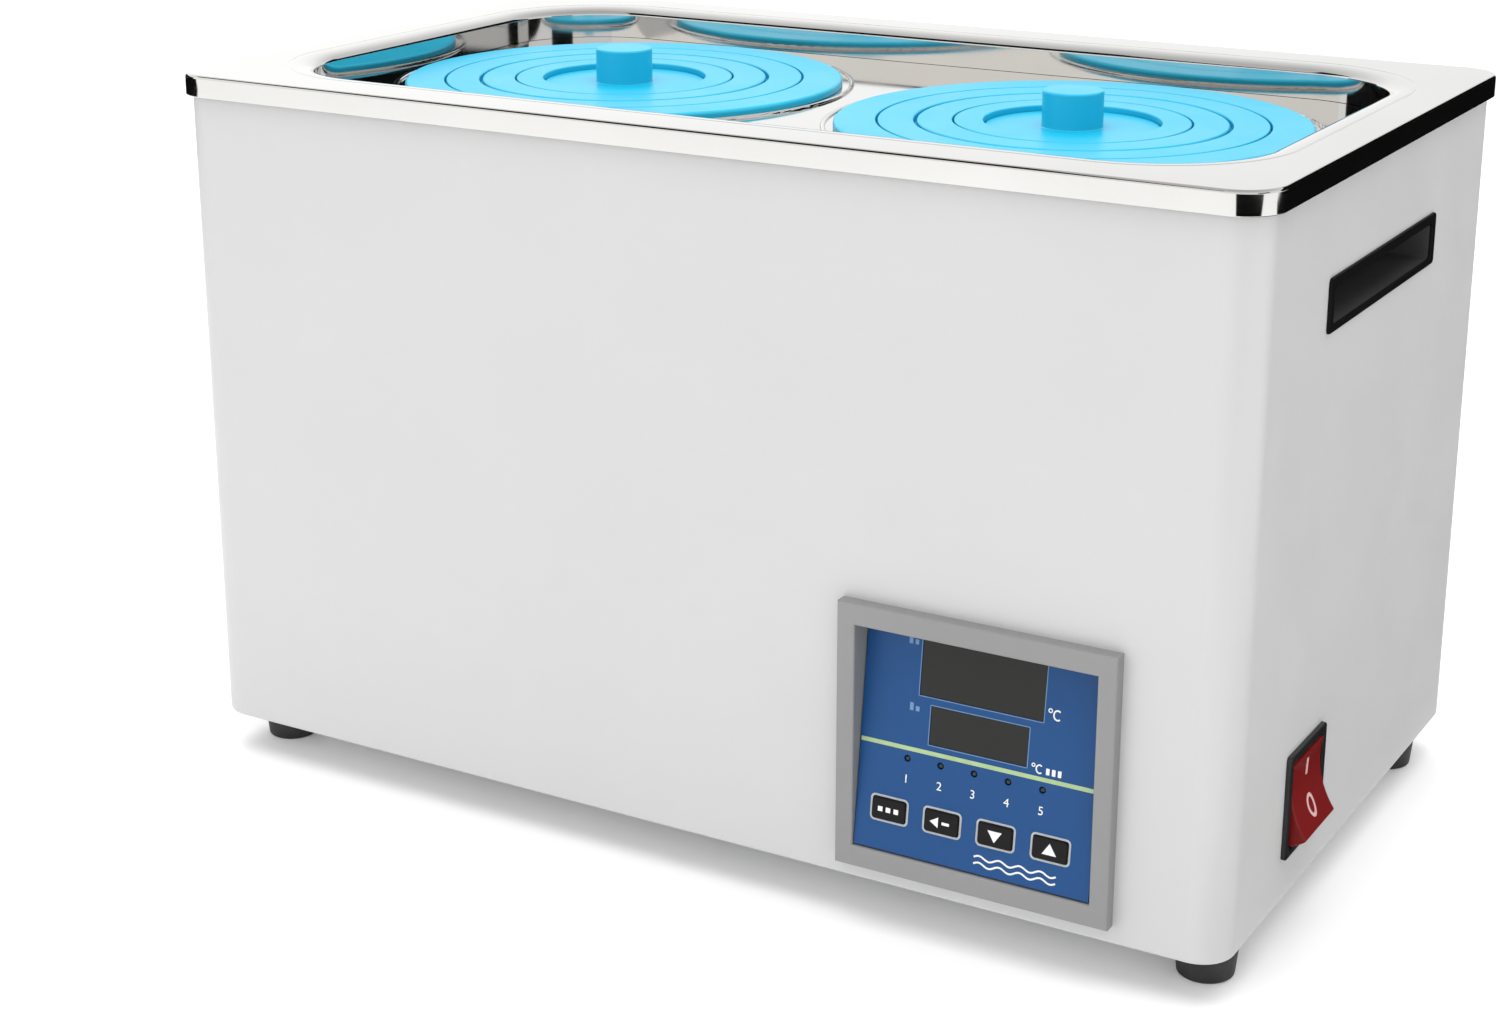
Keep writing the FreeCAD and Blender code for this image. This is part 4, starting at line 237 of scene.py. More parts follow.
def make_piece(name, vertices, faces, material, smooth_angle=SMOOTH_ANGLE):
    """Object in the scene from vertices in metres."""
    mesh = bpy.data.meshes.new(name)
    mesh.from_pydata([Vector(v) for v in vertices], [], faces)
    mesh.validate()
    mesh.shade_smooth()
    mesh.set_sharp_from_angle(angle=math.radians(smooth_angle))
    mesh.materials.append(material)
    piece = bpy.data.objects.new(name, mesh)
    bpy.context.scene.collection.objects.link(piece)
    return piece


def even_normals(piece):
    """Let the large flat faces keep straight reflections beside small rounded edges."""
    weighted = piece.modifiers.new("Even_normals", "WEIGHTED_NORMAL")
    weighted.keep_sharp = True
    weighted.weight = 100
    return piece


def stand_for(piece, body, *labels):
    """Show the piece on a body in place of CAD nodes."""
    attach(piece, body)
    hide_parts(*labels)


def outward(piece):
    """Turn all faces outwards."""
    mesh = piece.data
    middle = sum((face.center for face in mesh.polygons), Vector()) / len(mesh.polygons)
    outflow = sum((face.center - middle).dot(face.normal) * face.area for face in mesh.polygons)
    if outflow < 0:
        mesh.flip_normals()
    return piece


def loft(name, loops, material, closed, smooth_angle=SMOOTH_ANGLE):
    """Skin over loops of one length: closed joins the last to the first, otherwise both ends are capped."""
    length = len(loops[0])
    vertices = [vertex for loop in loops for vertex in loop]
    faces = []
    for row in range(len(loops) if closed else len(loops) - 1):
        a, b = row * length, (row + 1) % len(loops) * length
        for step in range(length):
            other = (step + 1) % length
            faces.append((a + step, a + other, b + other, b + step))
    if not closed:
        last = (len(loops) - 1) * length
        faces += [tuple(reversed(range(length))), tuple(range(last, last + length))]
    return outward(make_piece(name, vertices, faces, material, smooth_angle))


def arc(centre, radius, start, end, steps):
    """Points on an arc in a section, angles in degrees."""
    points = []
    for step in range(steps + 1):
        angle = math.radians(start + (end - start) * step / steps)
        points.append((centre[0] + radius * math.cos(angle), centre[1] + radius * math.sin(angle)))
    return points


def rounded(corners, steps=5):
    """Closed section from (across, up, radius) corners, each with its own rounding."""
    points = []
    count = len(corners)
    for index, (x, z, radius) in enumerate(corners):
        here = Vector((x, z))
        if radius <= 0:
            points.append((x, z))
            continue
        before = (Vector(corners[index - 1][:2]) - here).normalized()
        after = (Vector(corners[(index + 1) % count][:2]) - here).normalized()
        half = before.angle(after) / 2
        reach = radius / math.tan(half)
        centre = here + (before + after).normalized() * radius / math.sin(half)
        first, last = here + before * reach, here + after * reach
        begin = math.atan2(first.y - centre.y, first.x - centre.x)
        finish = math.atan2(last.y - centre.y, last.x - centre.x)
        turn = (finish - begin + math.pi) % (2 * math.pi) - math.pi
        for step in range(steps + 1):
            angle = begin + turn * step / steps
            points.append((centre.x + radius * math.cos(angle), centre.y + radius * math.sin(angle)))
    return points


def quarter_turn(steps):
    """Sine and cosine at even steps over a quarter of a turn."""
    angles = [math.pi / 2 * step / steps for step in range(steps + 1)]
    return [(math.sin(angle), math.cos(angle)) for angle in angles]


def rounded_loop(half_x, half_y, radius, height, segments=20):
    """Level loop round a rounded rectangle."""
    points = []
    for quarter, (sx, sy) in enumerate(((1, 1), (-1, 1), (-1, -1), (1, -1))):
        centre = (sx * (half_x - radius), sy * (half_y - radius))
        for step in range(segments + 1):
            angle = math.pi / 2 * (quarter + step / segments)
            x, y = centre[0] + radius * math.cos(angle), centre[1] + radius * math.sin(angle)
            points.append((x, y, height))
    return points


def lathe(name, section, centre, material, segments=192):
    """Closed section of (radius, height), turned about an upright axis; its centre is in metres."""
    vertices, faces, starts = [], [], []
    for radius, height in section:
        starts.append(len(vertices))
        if radius < ON_AXIS:
            vertices.append((centre[0], centre[1], height * MM))
            continue
        for step in range(segments):
            angle = 2 * math.pi * step / segments
            x = centre[0] + radius * MM * math.cos(angle)
            y = centre[1] + radius * MM * math.sin(angle)
            vertices.append((x, y, height * MM))
    count = len(section)
    for index in range(count):
        following = (index + 1) % count
        a, b = starts[index], starts[following]
        on_axis = section[index][0] < ON_AXIS, section[following][0] < ON_AXIS
        if all(on_axis):
            continue
        for step in range(segments):
            other = (step + 1) % segments
            if on_axis[0]:
                faces.append((a, b + step, b + other))
            elif on_axis[1]:
                faces.append((a + step, b, a + other))
            else:
                faces.append((a + step, b + step, b + other, a + other))
    return outward(make_piece(name, vertices, faces, material))


# Lids: on each side four rings and a cap, listed from the outermost ring to the cap

DECK_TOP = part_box("deck_top")[1].z / MM
HOLE_X = middle_of("right_cap").x  # in metres
PLATE_TOP = DECK_TOP - 10.0
LID_TOP = DECK_TOP - 7.7
RINGS = 4
RADII = [68.6, 56.1, 45.15, 34.1, 25.2]
EDGES = [1.1, 0.4, 0.65, 0.4, 0.55]  # rounding of each upper outer edge
INNER_EDGE = 0.9  # share of that rounding on the edge that faces it
SLACK = [0.0, 0.35, 0.65, 0.3, 0.4]  # how far each rim stays inside its radius
STEP = 2.6  # how far each ring reaches in under the next
GAP = 0.3  # how far outside the next radius each opening is
UNDER = PLATE_TOP - 3.0
RING_SEAT = PLATE_TOP + 0.03  # the outer rim keeps just off the plate
FIRST_SKIRT = 64.2  # radius of the part that hangs in the plate's hole
CAP_TOP = LID_TOP - 1.7
CAP_SEAT = CAP_TOP - 2.0
KNOB_TOP = LID_TOP + 8.89
KNOB_RADIUS = 8.8


def hanging_radius(index):
    """Radius of the part that hangs inside the ring outside it, or in the plate's hole."""
    return FIRST_SKIRT if index == 0 else RADII[index] - STEP - 2 * GAP


def ring_section(index):
    outer, inner = RADII[index], RADII[index + 1]
    rim = outer - SLACK[index]
    skirt = hanging_radius(index)
    seat = CAP_SEAT if index == RINGS - 1 else PLATE_TOP
    bottom = RING_SEAT if index == 0 else PLATE_TOP
    inner_edge = EDGES[index + 1] * INNER_EDGE
    return rounded([
        (inner - STEP, UNDER, 0.3),
        (skirt, UNDER, 0.3),
        (skirt, bottom, 0.1),
        (rim, bottom, 0.2),
        (rim, LID_TOP, EDGES[index]),
        (inner + GAP, LID_TOP, inner_edge),
        (inner + GAP, seat, 0.1),
        (inner - STEP, seat, 0.2),
    ])


def cap_section():
    radius = RADII[RINGS]
    skirt = hanging_radius(RINGS)
    return rounded([
        (0.0, UNDER, 0.0),
        (skirt, UNDER, 0.3),
        (skirt, CAP_SEAT, 0.1),
        (radius, CAP_SEAT, 0.15),
        (radius, CAP_TOP, 0.5),
        (KNOB_RADIUS, CAP_TOP, 0.35),
        (KNOB_RADIUS, KNOB_TOP, 0.7),
        (0.0, KNOB_TOP, 0.0),
    ])


LID_SECTIONS = {f"ring_{index + 1}": ring_section(index) for index in range(RINGS)}
LID_SECTIONS["cap"] = cap_section()
for side, name in ((-1, "left"), (1, "right")):
    for part, section in LID_SECTIONS.items():
        label = f"{name}_{part}"
        lid = lathe(f"Lid_{label}", section, (side * HOLE_X, 0.0), LID)
        stand_for(even_normals(lid), label, label)


# Deck: an outline is half its length, half its width and the radius of its corners

OUTLINE_OUTER = (172.1, 103.1, 12.0)
OUTLINE_WELL = (152.1, 80.4, 33.0)
SHEET = 1.0
SKIRT = 6.6
SKIRT_EDGE = 0.3
GROOVE = ((8.3, 0.0), (8.0, 0.16), (7.7, 0.16), (7.4, 0.0))  # how far off the well, and how deep
LIP_ACROSS, LIP_DOWN = 7.1, 2.5
LIP_UNDER = 6.3  # across, on the underside
DECK_SMOOTH_ANGLE = 40.0
LEDGE_REACH = 5.0
LEDGE_BEND = 0.8
LEDGE_TOP = PLATE_TOP - 1.0  # the cover plate is 1 mm thick


def make_deck():
    """Bent sheet: a skirt, a flat top, a rolled lip, the wall of the well and the ledge."""
    skirt_low = DECK_TOP - SKIRT
    under_top = DECK_TOP - SHEET
    edge = arc((-SKIRT_EDGE, skirt_low + SKIRT_EDGE), SKIRT_EDGE, -90, 0, 3)
    edge += arc((-SHEET, under_top), SHEET, 0, 90, 6)
    well = [(offset, DECK_TOP - depth) for offset, depth in GROOVE]
    for sine, cosine in quarter_turn(12):
        well.append((LIP_ACROSS * (1 - sine), DECK_TOP - LIP_DOWN * (1 - cosine)))
    well += arc((-LEDGE_BEND, LEDGE_TOP + LEDGE_BEND), LEDGE_BEND, 0, -90, 4)
    well += [(-LEDGE_REACH, LEDGE_TOP), (-LEDGE_REACH, LEDGE_TOP - SHEET), (SHEET, LEDGE_TOP - SHEET)]
    lip_start = DECK_TOP - (SHEET + LIP_DOWN)
    for sine, cosine in quarter_turn(6):
        well.append((SHEET + LIP_UNDER * (1 - cosine), lip_start + LIP_DOWN * sine))
    back = [(-SHEET, under_top), (-SHEET, skirt_low)]
    loops = []
    for outline, places in ((OUTLINE_OUTER, edge), (OUTLINE_WELL, well), (OUTLINE_OUTER, back)):
        for offset, height in places:
            half_x, half_y, radius = (size + offset for size in outline)
            loop = rounded_loop(half_x, half_y, radius, height)
            loops.append([(x * MM, y * MM, z * MM) for x, y, z in loop])
    deck = loft("Deck", loops, MIRROR, True, DECK_SMOOTH_ANGLE)
    stand_for(even_normals(deck), "base", "deck_top")


make_deck()


# Side handles: depths count outwards from the housing's side

HOUSING_SIDE = 170.0
HANDLE_WIDTH, HANDLE_HEIGHT = 93.0, 15.0
HANDLE_CORNER = 1.5
BORDER_SIDE, BORDER_TOP, BORDER_LOW = 3.4, 2.8, 1.9
BORDER_THICK = 0.8
BORDER_EDGE = ((0.0, 0.8), (0.0, 0.4), (0.12, 0.12), (0.4, 0.0))  # how far in, and how far down
HOLLOW_DEPTH = 18.0
SHELL_WIDTH, SHELL_HEIGHT, SHELL_CORNER = 90.8, 12.8, 1.4
SHELL_DEPTH = 19.4


def cup_loops(side, sections):
    """Upright loops round rounded rectangles; each section is width, height, corner, depth and lift."""
    middle = middle_of("handle_cup_right" if side > 0 else "handle_cup_left")
    face = side * HOUSING_SIDE
    loops = []
    for width, height, corner, depth, lift in sections:
        flat = rounded_loop(width / 2, height / 2, corner, 0.0, 5)
        place = (face + side * depth) * MM
        loops.append([(place, middle.y + x * MM, middle.z + (y + lift) * MM) for x, y, z in flat])
    return loops


def make_handles():
    """Each cup is a border on the housing's side and a shell behind it, whose hollow has a rounded floor."""
    wide, tall = HANDLE_WIDTH - 2 * BORDER_SIDE, HANDLE_HEIGHT - BORDER_TOP - BORDER_LOW
    lift = (BORDER_LOW - BORDER_TOP) / 2
    rim = []
    for width, height, up, turn in ((HANDLE_WIDTH, HANDLE_HEIGHT, 0.0, 1), (wide, tall, lift, -1)):
        edge = []
        for inset, drop in BORDER_EDGE:
            size = -2 * inset * turn
            corner = HANDLE_CORNER - inset * turn
            edge.append((width + size, height + size, corner, BORDER_THICK - drop, up))
        rim += edge[::turn]
    shell = [
        (wide - 2.4, tall - 2.4, 0.8, -HOLLOW_DEPTH, lift),
        (wide - 0.7, tall - 0.7, 1.2, 0.4 - HOLLOW_DEPTH, lift),
        (wide, tall, HANDLE_CORNER, 1.4 - HOLLOW_DEPTH, lift),
        (wide, tall, HANDLE_CORNER, 0.0, lift),
        (SHELL_WIDTH, SHELL_HEIGHT, SHELL_CORNER, 0.0, 0.0),
        (SHELL_WIDTH, SHELL_HEIGHT, SHELL_CORNER, -SHELL_DEPTH, 0.0),
    ]
    for side, name in ((-1, "left"), (1, "right")):
        # the border is in black darkened for painted shade
        border = loft(f"Handle_border_{name}", cup_loops(side, rim), CUP_BORDER_PAINTED_SHADE, True)
        stand_for(even_normals(border), "base", f"handle_cup_{name}")
        # the hollow is in black lightened for painted light on its floor
        cup = loft(f"Handle_cup_{name}", cup_loops(side, shell), CUP_INSIDE_PAINTED_LIGHT, False)
        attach(cup, "base")


make_handles()


# Feet

FOOT_HEIGHT = 13.0
FOOT_RADIUS = 9.2
FOOT_BENCH_RADIUS = 7.8
FOOT_BORE = 3.4


def make_feet():
    """Turned rubber feet, narrower at the bench, with a shallow groove under the collar."""
    section = rounded([
        (FOOT_BORE, 0.0, 0.0),
        (FOOT_BENCH_RADIUS, 0.0, 0.9),
        (8.95, 11.2, 0.0),
        (8.8, 11.5, 0.15),
        (FOOT_RADIUS, 11.9, 0.2),
        (FOOT_RADIUS, FOOT_HEIGHT, 0.2),
        (FOOT_BORE, FOOT_HEIGHT, 0.0),
    ])
    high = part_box("rubber_feet")[1]
    spread_x, spread_y = high.x - FOOT_RADIUS * MM, high.y - FOOT_RADIUS * MM
    for sx, across in ((-1, "left"), (1, "right")):
        for sy, along in ((-1, "front"), (1, "rear")):
            foot = lathe(f"Foot_{along}_{across}", section, (sx * spread_x, sy * spread_y), RUBBER, 96)
            stand_for(even_normals(foot), "base", "rubber_feet")


make_feet()


# Prints: flat marks with a little thickness, on the rocker and on the control panel


def oval(half_width, half_height, x, y, count=40):
    turns = [2 * math.pi * step / count for step in range(count)]
    return [(x + half_width * math.cos(turn), y + half_height * math.sin(turn)) for turn in turns]


def print_faces(start, count, rings):
    """Faces of one mark whose vertices begin at start: its loops in front, then the same loops behind.

    One loop is filled. Two loops of one length, the outer one first, make a band.
    """
    layer = count * rings
    back = start + layer
    if rings == 1:
        faces = [tuple(range(start, start + count)), tuple(reversed(range(back, back + count)))]
    else:
        faces = []
        for base, order in ((start, 1), (back, -1)):
            for step in range(count):
                other = (step + 1) % count
                inner = base + count
                faces.append((base + step, base + other, inner + other, inner + step)[::order])
    for ring in range(rings):
        for step in range(count):
            a = start + ring * count + step
            b = start + ring * count + (step + 1) % count
            faces.append((a, a + layer, b + layer, b) if ring == 0 else (b, b + layer, a + layer, a))
    return faces


# Mains switch: a curved rocker with its two marks; its section is (out from the pivot, up)

PIVOT = Vector(joints["rocker_toggle"]["pos_m"])  # in metres
REST_TILT = -12.0  # degrees
ROCKER_TURN = Matrix.Translation(PIVOT) @ Matrix.Rotation(math.radians(REST_TILT), 4, "Y")
END_OUT, END_UP, RISE = 6.287, 10.76, 4.0
BACK_OUT, BACK_UP = -3.0, 4.0
FLANK_END = 85  # degrees
ROCKER_HALF = 12.05
ROCKER_EDGE = 0.45
TRUNNION_REACH, TRUNNION_RADIUS, TRUNNION_EDGE = 13.1, 1.5, 0.2
MARK_FRONT, MARK_BACK = 0.05, -0.1


def rocker_face(up):
    """How far the hollow face stands out of the pivot at a height."""
    return RISE + (END_OUT - RISE) * (up / END_UP) ** 2


def rocker_mark(name, loops):
    """Printed mark a few hundredths proud of the hollow face."""
    vertices = []
    for lift in (MARK_FRONT, MARK_BACK):
        for loop in loops:
            vertices += [((rocker_face(z) + lift) * MM, y * MM, z * MM) for y, z in loop]
    faces = print_faces(0, len(loops[0]), len(loops))
    mark = outward(make_piece(name, vertices, faces, MARK))
    mark.data.transform(ROCKER_TURN)
    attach(mark, "rocker")


def make_rocker():
    reach = math.hypot(END_OUT, END_UP)
    start = math.degrees(math.atan2(END_UP, END_OUT))
    outline = []
    steps = 24
    for step in range(steps + 1):
        up = -END_UP + 2 * END_UP * step / steps
        outline.append((rocker_face(up), up))
    outline += arc((0, 0), reach, start, FLANK_END, 5)[1:]
    outline += [(BACK_OUT, BACK_UP), (BACK_OUT, -BACK_UP)]
    outline += arc((0, 0), reach, -FLANK_END, -start, 5)[:-1]
    vertices = [(x * MM, y * MM, z * MM) for y in (-ROCKER_HALF, ROCKER_HALF) for x, z in outline]
    rocker = outward(make_piece("Rocker", vertices, print_faces(0, len(outline), 1), RED))
    bevel = rocker.modifiers.new("Rounded_edges", "BEVEL")
    bevel.width = ROCKER_EDGE * MM
    bevel.segments = 3
    bevel.limit_method = "ANGLE"
    bevel.angle_limit = math.radians(40)
    rocker.data.transform(ROCKER_TURN)
    stand_for(even_normals(rocker), "rocker", "power_rocker")


def make_trunnions():
    """The pins at the rocker's sides, made as one bar on its axis."""
    section = rounded([
        (0, -TRUNNION_REACH, 0),
        (TRUNNION_RADIUS, -TRUNNION_REACH, TRUNNION_EDGE),
        (TRUNNION_RADIUS, TRUNNION_REACH, TRUNNION_EDGE),
        (0, TRUNNION_REACH, 0),
    ])
    pins = lathe("Rocker_trunnions", section, (0, 0), RED, 48)
    pins.data.transform(Matrix.Translation(PIVOT) @ Matrix.Rotation(math.radians(90), 4, "X"))
    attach(pins, "rocker")


make_rocker()
make_trunnions()
rocker_mark("Mark_on", [rounded([(-0.7, 4.2, 0.2), (0.7, 4.2, 0.2), (0.7, 9.0, 0.2), (-0.7, 9.0, 0.2)])])
rocker_mark("Mark_off", [oval(2.6, 3.4, 0.0, -4.7), oval(1.5, 2.3, 0.0, -4.7)])


# Printing on the control panel, in millimetres across and up the tilted face from its middle

INTO_FACE = Vector(joints["key_1_press"]["axis"])
FACE_HALF = 0.75  # half of the face's thickness
FACE_MIDDLE = middle_of("panel_face") - INTO_FACE * FACE_HALF * MM
PANEL_TURN = Matrix.Translation(FACE_MIDDLE) @ Matrix.Rotation(math.atan2(INTO_FACE.y, -INTO_FACE.z), 4, "X")
PRINT_FRONT = 0.06  # how far a print stands out of the face
KEY_PRINT_FRONT = 0.03
PRINT_BACK = 0.04  # how far a print reaches into the face
FIGURE_HALF = 0.04  # half of a figure's thickness
FIGURE_LEVEL = 0.02


def printed(name, marks, material, body="base", level=0.0, front=PRINT_FRONT):
    """Thin raised print. Each mark is an outer loop, or an outer and an inner loop of one length."""
    vertices, faces = [], []
    for loops in marks:
        faces += print_faces(len(vertices), len(loops[0]), len(loops))
        for lift in (level + front, level - PRINT_BACK):
            for loop in loops:
                vertices += [(x * MM, y * MM, lift * MM) for x, y in loop]
    piece = outward(make_piece(name, vertices, faces, material))
    piece.data.transform(PANEL_TURN)
    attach(piece, body)


def moved(loop, x, y):
    return [(px + x, py + y) for px, py in loop]


def rectangle(width, height, radius, x, y):
    w, h = width / 2, height / 2
    loop = rounded([(-w, -h, radius), (w, -h, radius), (w, h, radius), (-w, h, radius)], 4)
    return moved(loop, x, y)


def stroke(points, width):
    """Band of one width along a line of points."""
    left, right = [], []
    for index, point in enumerate(points):
        here = Vector(point)
        ahead = Vector(points[min(index + 1, len(points) - 1)])
        behind = Vector(points[max(index - 1, 0)])
        along = (ahead - behind).normalized()
        across = Vector((-along.y, along.x)) * width / 2
        left.append(tuple(here + across))
        right.append(tuple(here - across))
    return [left + right[::-1]]


def figure_mesh(text, size):
    """A figure from Blender's own font, a few hundredths thick."""
    curve = bpy.data.curves.new("Figure", "FONT")
    curve.body = text
    curve.size = size * MM
    curve.align_x = "CENTER"
    curve.align_y = "CENTER"
    curve.extrude = FIGURE_HALF * MM
    holder = bpy.data.objects.new("Figure", curve)
    mesh = bpy.data.meshes.new_from_object(holder)
    bpy.data.objects.remove(holder)
    bpy.data.curves.remove(curve)
    return mesh


def print_figures(name, items, material, size):
    """Small figures, each a text with its place on the face."""
    vertices, faces = [], []
    for text, x, y in items:
        mesh = figure_mesh(text, size)
        start = len(vertices)
        shift = Vector((x * MM, y * MM, FIGURE_LEVEL * MM))
        vertices += [tuple(vertex.co + shift) for vertex in mesh.vertices]
        faces += [tuple(start + corner for corner in face.vertices) for face in mesh.polygons]
        bpy.data.meshes.remove(mesh)
    piece = make_piece(name, vertices, faces, material)
    piece.data.transform(PANEL_TURN)
    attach(piece, "base")


KEYS, KEY_PITCH, KEY_SHIFT = 4, 16.0, -0.85
LIGHTS, LIGHT_PITCH, LIGHT_SHIFT = 5, 10.0, -0.5
KEY_LEVEL = -20.2
KEY_PROUD = 0.8  # how far the keys stand out of the face
KEY_FRAME = (11.6, 7.7, 0.6, 1.4)  # width, height, line and corner
WINDOW_FRAMES = ((37.0, 18.1, 22.8), (29.5, 11.5, 6.2))  # width, height and place up the face
WINDOW_LINE, WINDOW_CORNER = 0.23, 0.3
LINE_LENGTH, LINE_WIDTH, LINE_LEVEL = 69.6, 1.2, -1.6
FIGURES_LEVEL = -10.4
FIGURE_SIZE = 3.4
DEGREE_MARKS = ((20.0, 17.6, 2.2), (16.4, 1.9, 1.9))  # across, up and size
DOTS = (20.6, 22.3, 24.0)
DOTS_LEVEL = 0.8
BAR_PAIRS = ((-19.4, 10.4), (-20.9, 28.9))
SMALL_CORNER = 0.1
WAVE_START, WAVE_LEVEL = 1.3, -28.4
WAVE_ROWS = (0.95, -0.95)
WAVES, WAVE_LENGTH, WAVE_SWELL, WAVE_WIDTH = 4, 6.0, 0.55, 0.5
WAVE_POINTS = 12  # to one wavelength


def row_place(index, count, pitch, shift):
    """Place across the face of one of a row of evenly spaced things."""
    return (index - (count - 1) / 2) * pitch + shift


def key_x(index):
    return row_place(index, KEYS, KEY_PITCH, KEY_SHIFT)


def light_x(index):
    return row_place(index, LIGHTS, LIGHT_PITCH, LIGHT_SHIFT)


def frame_loops(width, height, line, radius, x, y):
    """Outer and inner loop of a printed frame; width and height are its outside."""
    inner_radius = max(radius - line, 0.02)
    inner = rectangle(width - 2 * line, height - 2 * line, inner_radius, x, y)
    return [rectangle(width, height, radius, x, y), inner]


def degree_mark(x, y, size):
    """Small ring and an open C."""
    ring = [oval(radius * size, radius * size, x, y, 24) for radius in (0.3, 0.16)]
    letter = []
    steps = 16
    opening = 50  # degrees from the middle of the opening to each end
    for step in range(steps + 1):
        angle = math.radians(opening + (360 - 2 * opening) * step / steps)
        letter.append((x + (0.95 + 0.5 * math.cos(angle)) * size, y + (-0.45 + 0.6 * math.sin(angle)) * size))
    return [ring, stroke(letter, 0.2 * size)]


def wave(height):
    """Wavy line at a height above the middle of the wave mark."""
    points = []
    for step in range(WAVES * WAVE_POINTS + 1):
        swell = WAVE_SWELL * math.sin(2 * math.pi * step / WAVE_POINTS)
        points.append((WAVE_START + WAVE_LENGTH / WAVE_POINTS * step, WAVE_LEVEL + height + swell))
    return stroke(points, WAVE_WIDTH)


def print_panel():
    line = rectangle(LINE_LENGTH, LINE_WIDTH, 0.05, 0.0, LINE_LEVEL)
    printed("Panel_line", [[line]], LINE)
    key_frames = [frame_loops(*KEY_FRAME, key_x(index), KEY_LEVEL) for index in range(KEYS)]
    printed("Key_outlines", key_frames, OUTLINE)
    window_frames = []
    for width, height, y in WINDOW_FRAMES:
        window_frames.append(frame_loops(width, height, WINDOW_LINE, WINDOW_CORNER, 0.0, y))
    printed("Window_outlines", window_frames, PALE_BLUE)
    figures = [(str(index + 1), light_x(index), FIGURES_LEVEL) for index in range(LIGHTS)]
    print_figures("Light_numbers", figures, WHITE, FIGURE_SIZE)
    printed("Wave_mark", [wave(height) for height in WAVE_ROWS], WHITE)
    marks = [mark for place in DEGREE_MARKS for mark in degree_mark(*place)]
    marks += [[rectangle(1.0, 1.8, SMALL_CORNER, x, DOTS_LEVEL)] for x in DOTS]
    printed("Panel_marks", marks, WHITE)
    bars = []
    for x, y in BAR_PAIRS:
        bars.append([rectangle(1.1, 2.2, SMALL_CORNER, x - 0.9, y)])
        bars.append([rectangle(1.1, 1.4, SMALL_CORNER, x + 0.9, y - 0.4)])
    printed("Panel_bars", bars, PALE_BLUE)


def print_keys():
    """Three dots, an arrow to the left, an arrow down and an arrow up."""
    symbols = [
        [[rectangle(1.4, 1.4, SMALL_CORNER, x, 0)] for x in (-2.4, 0, 2.4)],
        [[[(-3.3, 0.0), (-0.8, -1.5), (-0.8, 1.5)]], [rectangle(2.2, 0.8, SMALL_CORNER, 1.4, 0)]],
        [[[(0.0, -1.8), (2.1, 1.4), (-2.1, 1.4)]]],
        [[[(0.0, 1.8), (-2.1, -1.4), (2.1, -1.4)]]],
    ]
    for index, marks in enumerate(symbols):
        shifted = [[moved(loop, key_x(index), KEY_LEVEL) for loop in loops] for loops in marks]
        body = f"key_{index + 1}"
        printed(f"Key_symbol_{index + 1}", shifted, WHITE, body, KEY_PROUD, KEY_PRINT_FRONT)


print_panel()
print_keys()


# Stage: floor, cards, lights and camera, in metres


def stage_card(name, corners, material):
    card = make_piece(name, corners, [(0, 1, 2, 3)], material)
    return card


def flat_card(name, low, high, height, material):
    """Level card between two corners."""
    (x0, y0), (x1, y1) = low, high
    corners = [(x0, y0), (x1, y0), (x1, y1), (x0, y1)]
    return stage_card(name, [(*corner, height) for corner in corners], material)


def upright_card(name, start, end, low, high, material):
    """Card that stands along a line on the floor, between two heights."""
    return stage_card(name, [(*start, low), (*end, low), (*end, high), (*start, high)], material)


def reflected_only(card):
    """Hide the card from everything but glossy rays."""
    card.visible_camera = False
    card.visible_diffuse = False
    card.visible_shadow = False
    card.visible_transmission = False


FLOOR = surface("Floor", (0.93, 0.93, 0.93), 0.9, drift=0.003, patch=3.0, depth=0.0,
                Emission_Color=(1.0, 1.0, 1.0, 1.0), Emission_Strength=0.1)
FLAG = surface("Black_card", (0.004, 0.004, 0.004), 0.9, drift=0.05, depth=0.0, Specular_IOR_Level=0.0)
TAUPE = surface("Taupe_card", (0.004, 0.004, 0.004), 0.9, drift=0.05, depth=0.0, Specular_IOR_Level=0.0,
                Emission_Color=(1.0, 0.97, 0.93, 1.0), Emission_Strength=1.2)
CARD_LEVEL = 0.004  # just off the floor
flat_card("Floor", (-14, -14), (14, 14), 0.0, FLOOR)
for name, low, high, height in (
    ("Floor_card_right", (0.176, 0.28), (1.1, 2.0), CARD_LEVEL),
    ("Floor_card_near", (0.176, -0.15), (0.45, 0.28), CARD_LEVEL),
    ("Floor_card_front", (0.34, -1.8), (1.3, -0.39), CARD_LEVEL),
    ("Floor_card_left", (-2.2, -0.95), (-1.05, 0.6), CARD_LEVEL),
    ("Card_above", (-2.0, -2.4), (-0.7, 0.0), 2.1),
):
    reflected_only(flat_card(name, low, high, height, FLAG))
for name, start, end, low, high, material in (
    ("Card_right", (0.28, 2.0), (3.2, 2.0), 0.0, 1.6, FLAG),
    ("Card_side", (2.6, -1.5), (2.6, -0.1), 0.4, 1.3, FLAG),
    ("Card_left", (-2.3, 0.9), (-2.3, -1.2), 0.0, 0.9, FLAG),
    ("Card_front", (-4.0, -3.0), (0.6, -3.0), 0.15, 1.5, TAUPE),
):
    reflected_only(upright_card(name, start, end, low, high, material))


def area_light(name, place, target, width, height, power):
    """Rectangular light that reflections don't see."""
    light = bpy.data.lights.new(name, "AREA")
    light.shape = "RECTANGLE"
    light.size = width
    light.size_y = height
    light.energy = power
    holder = bpy.data.objects.new(name, light)
    bpy.context.scene.collection.objects.link(holder)
    holder.location = place
    holder.rotation_mode = "QUATERNION"
    holder.rotation_quaternion = (Vector(target) - Vector(place)).to_track_quat("-Z", "Y")
    holder.visible_glossy = False


SKY_REST = 0.84  # strength for all but glossy rays
SKY_OVERHEAD = (0.33, 0.95, 1.0, 0.58)  # from one height to another, from one strength to another
SKY_SIDEWAYS = (-0.7, -0.2, 1.3, 1.05)  # the same from left to right


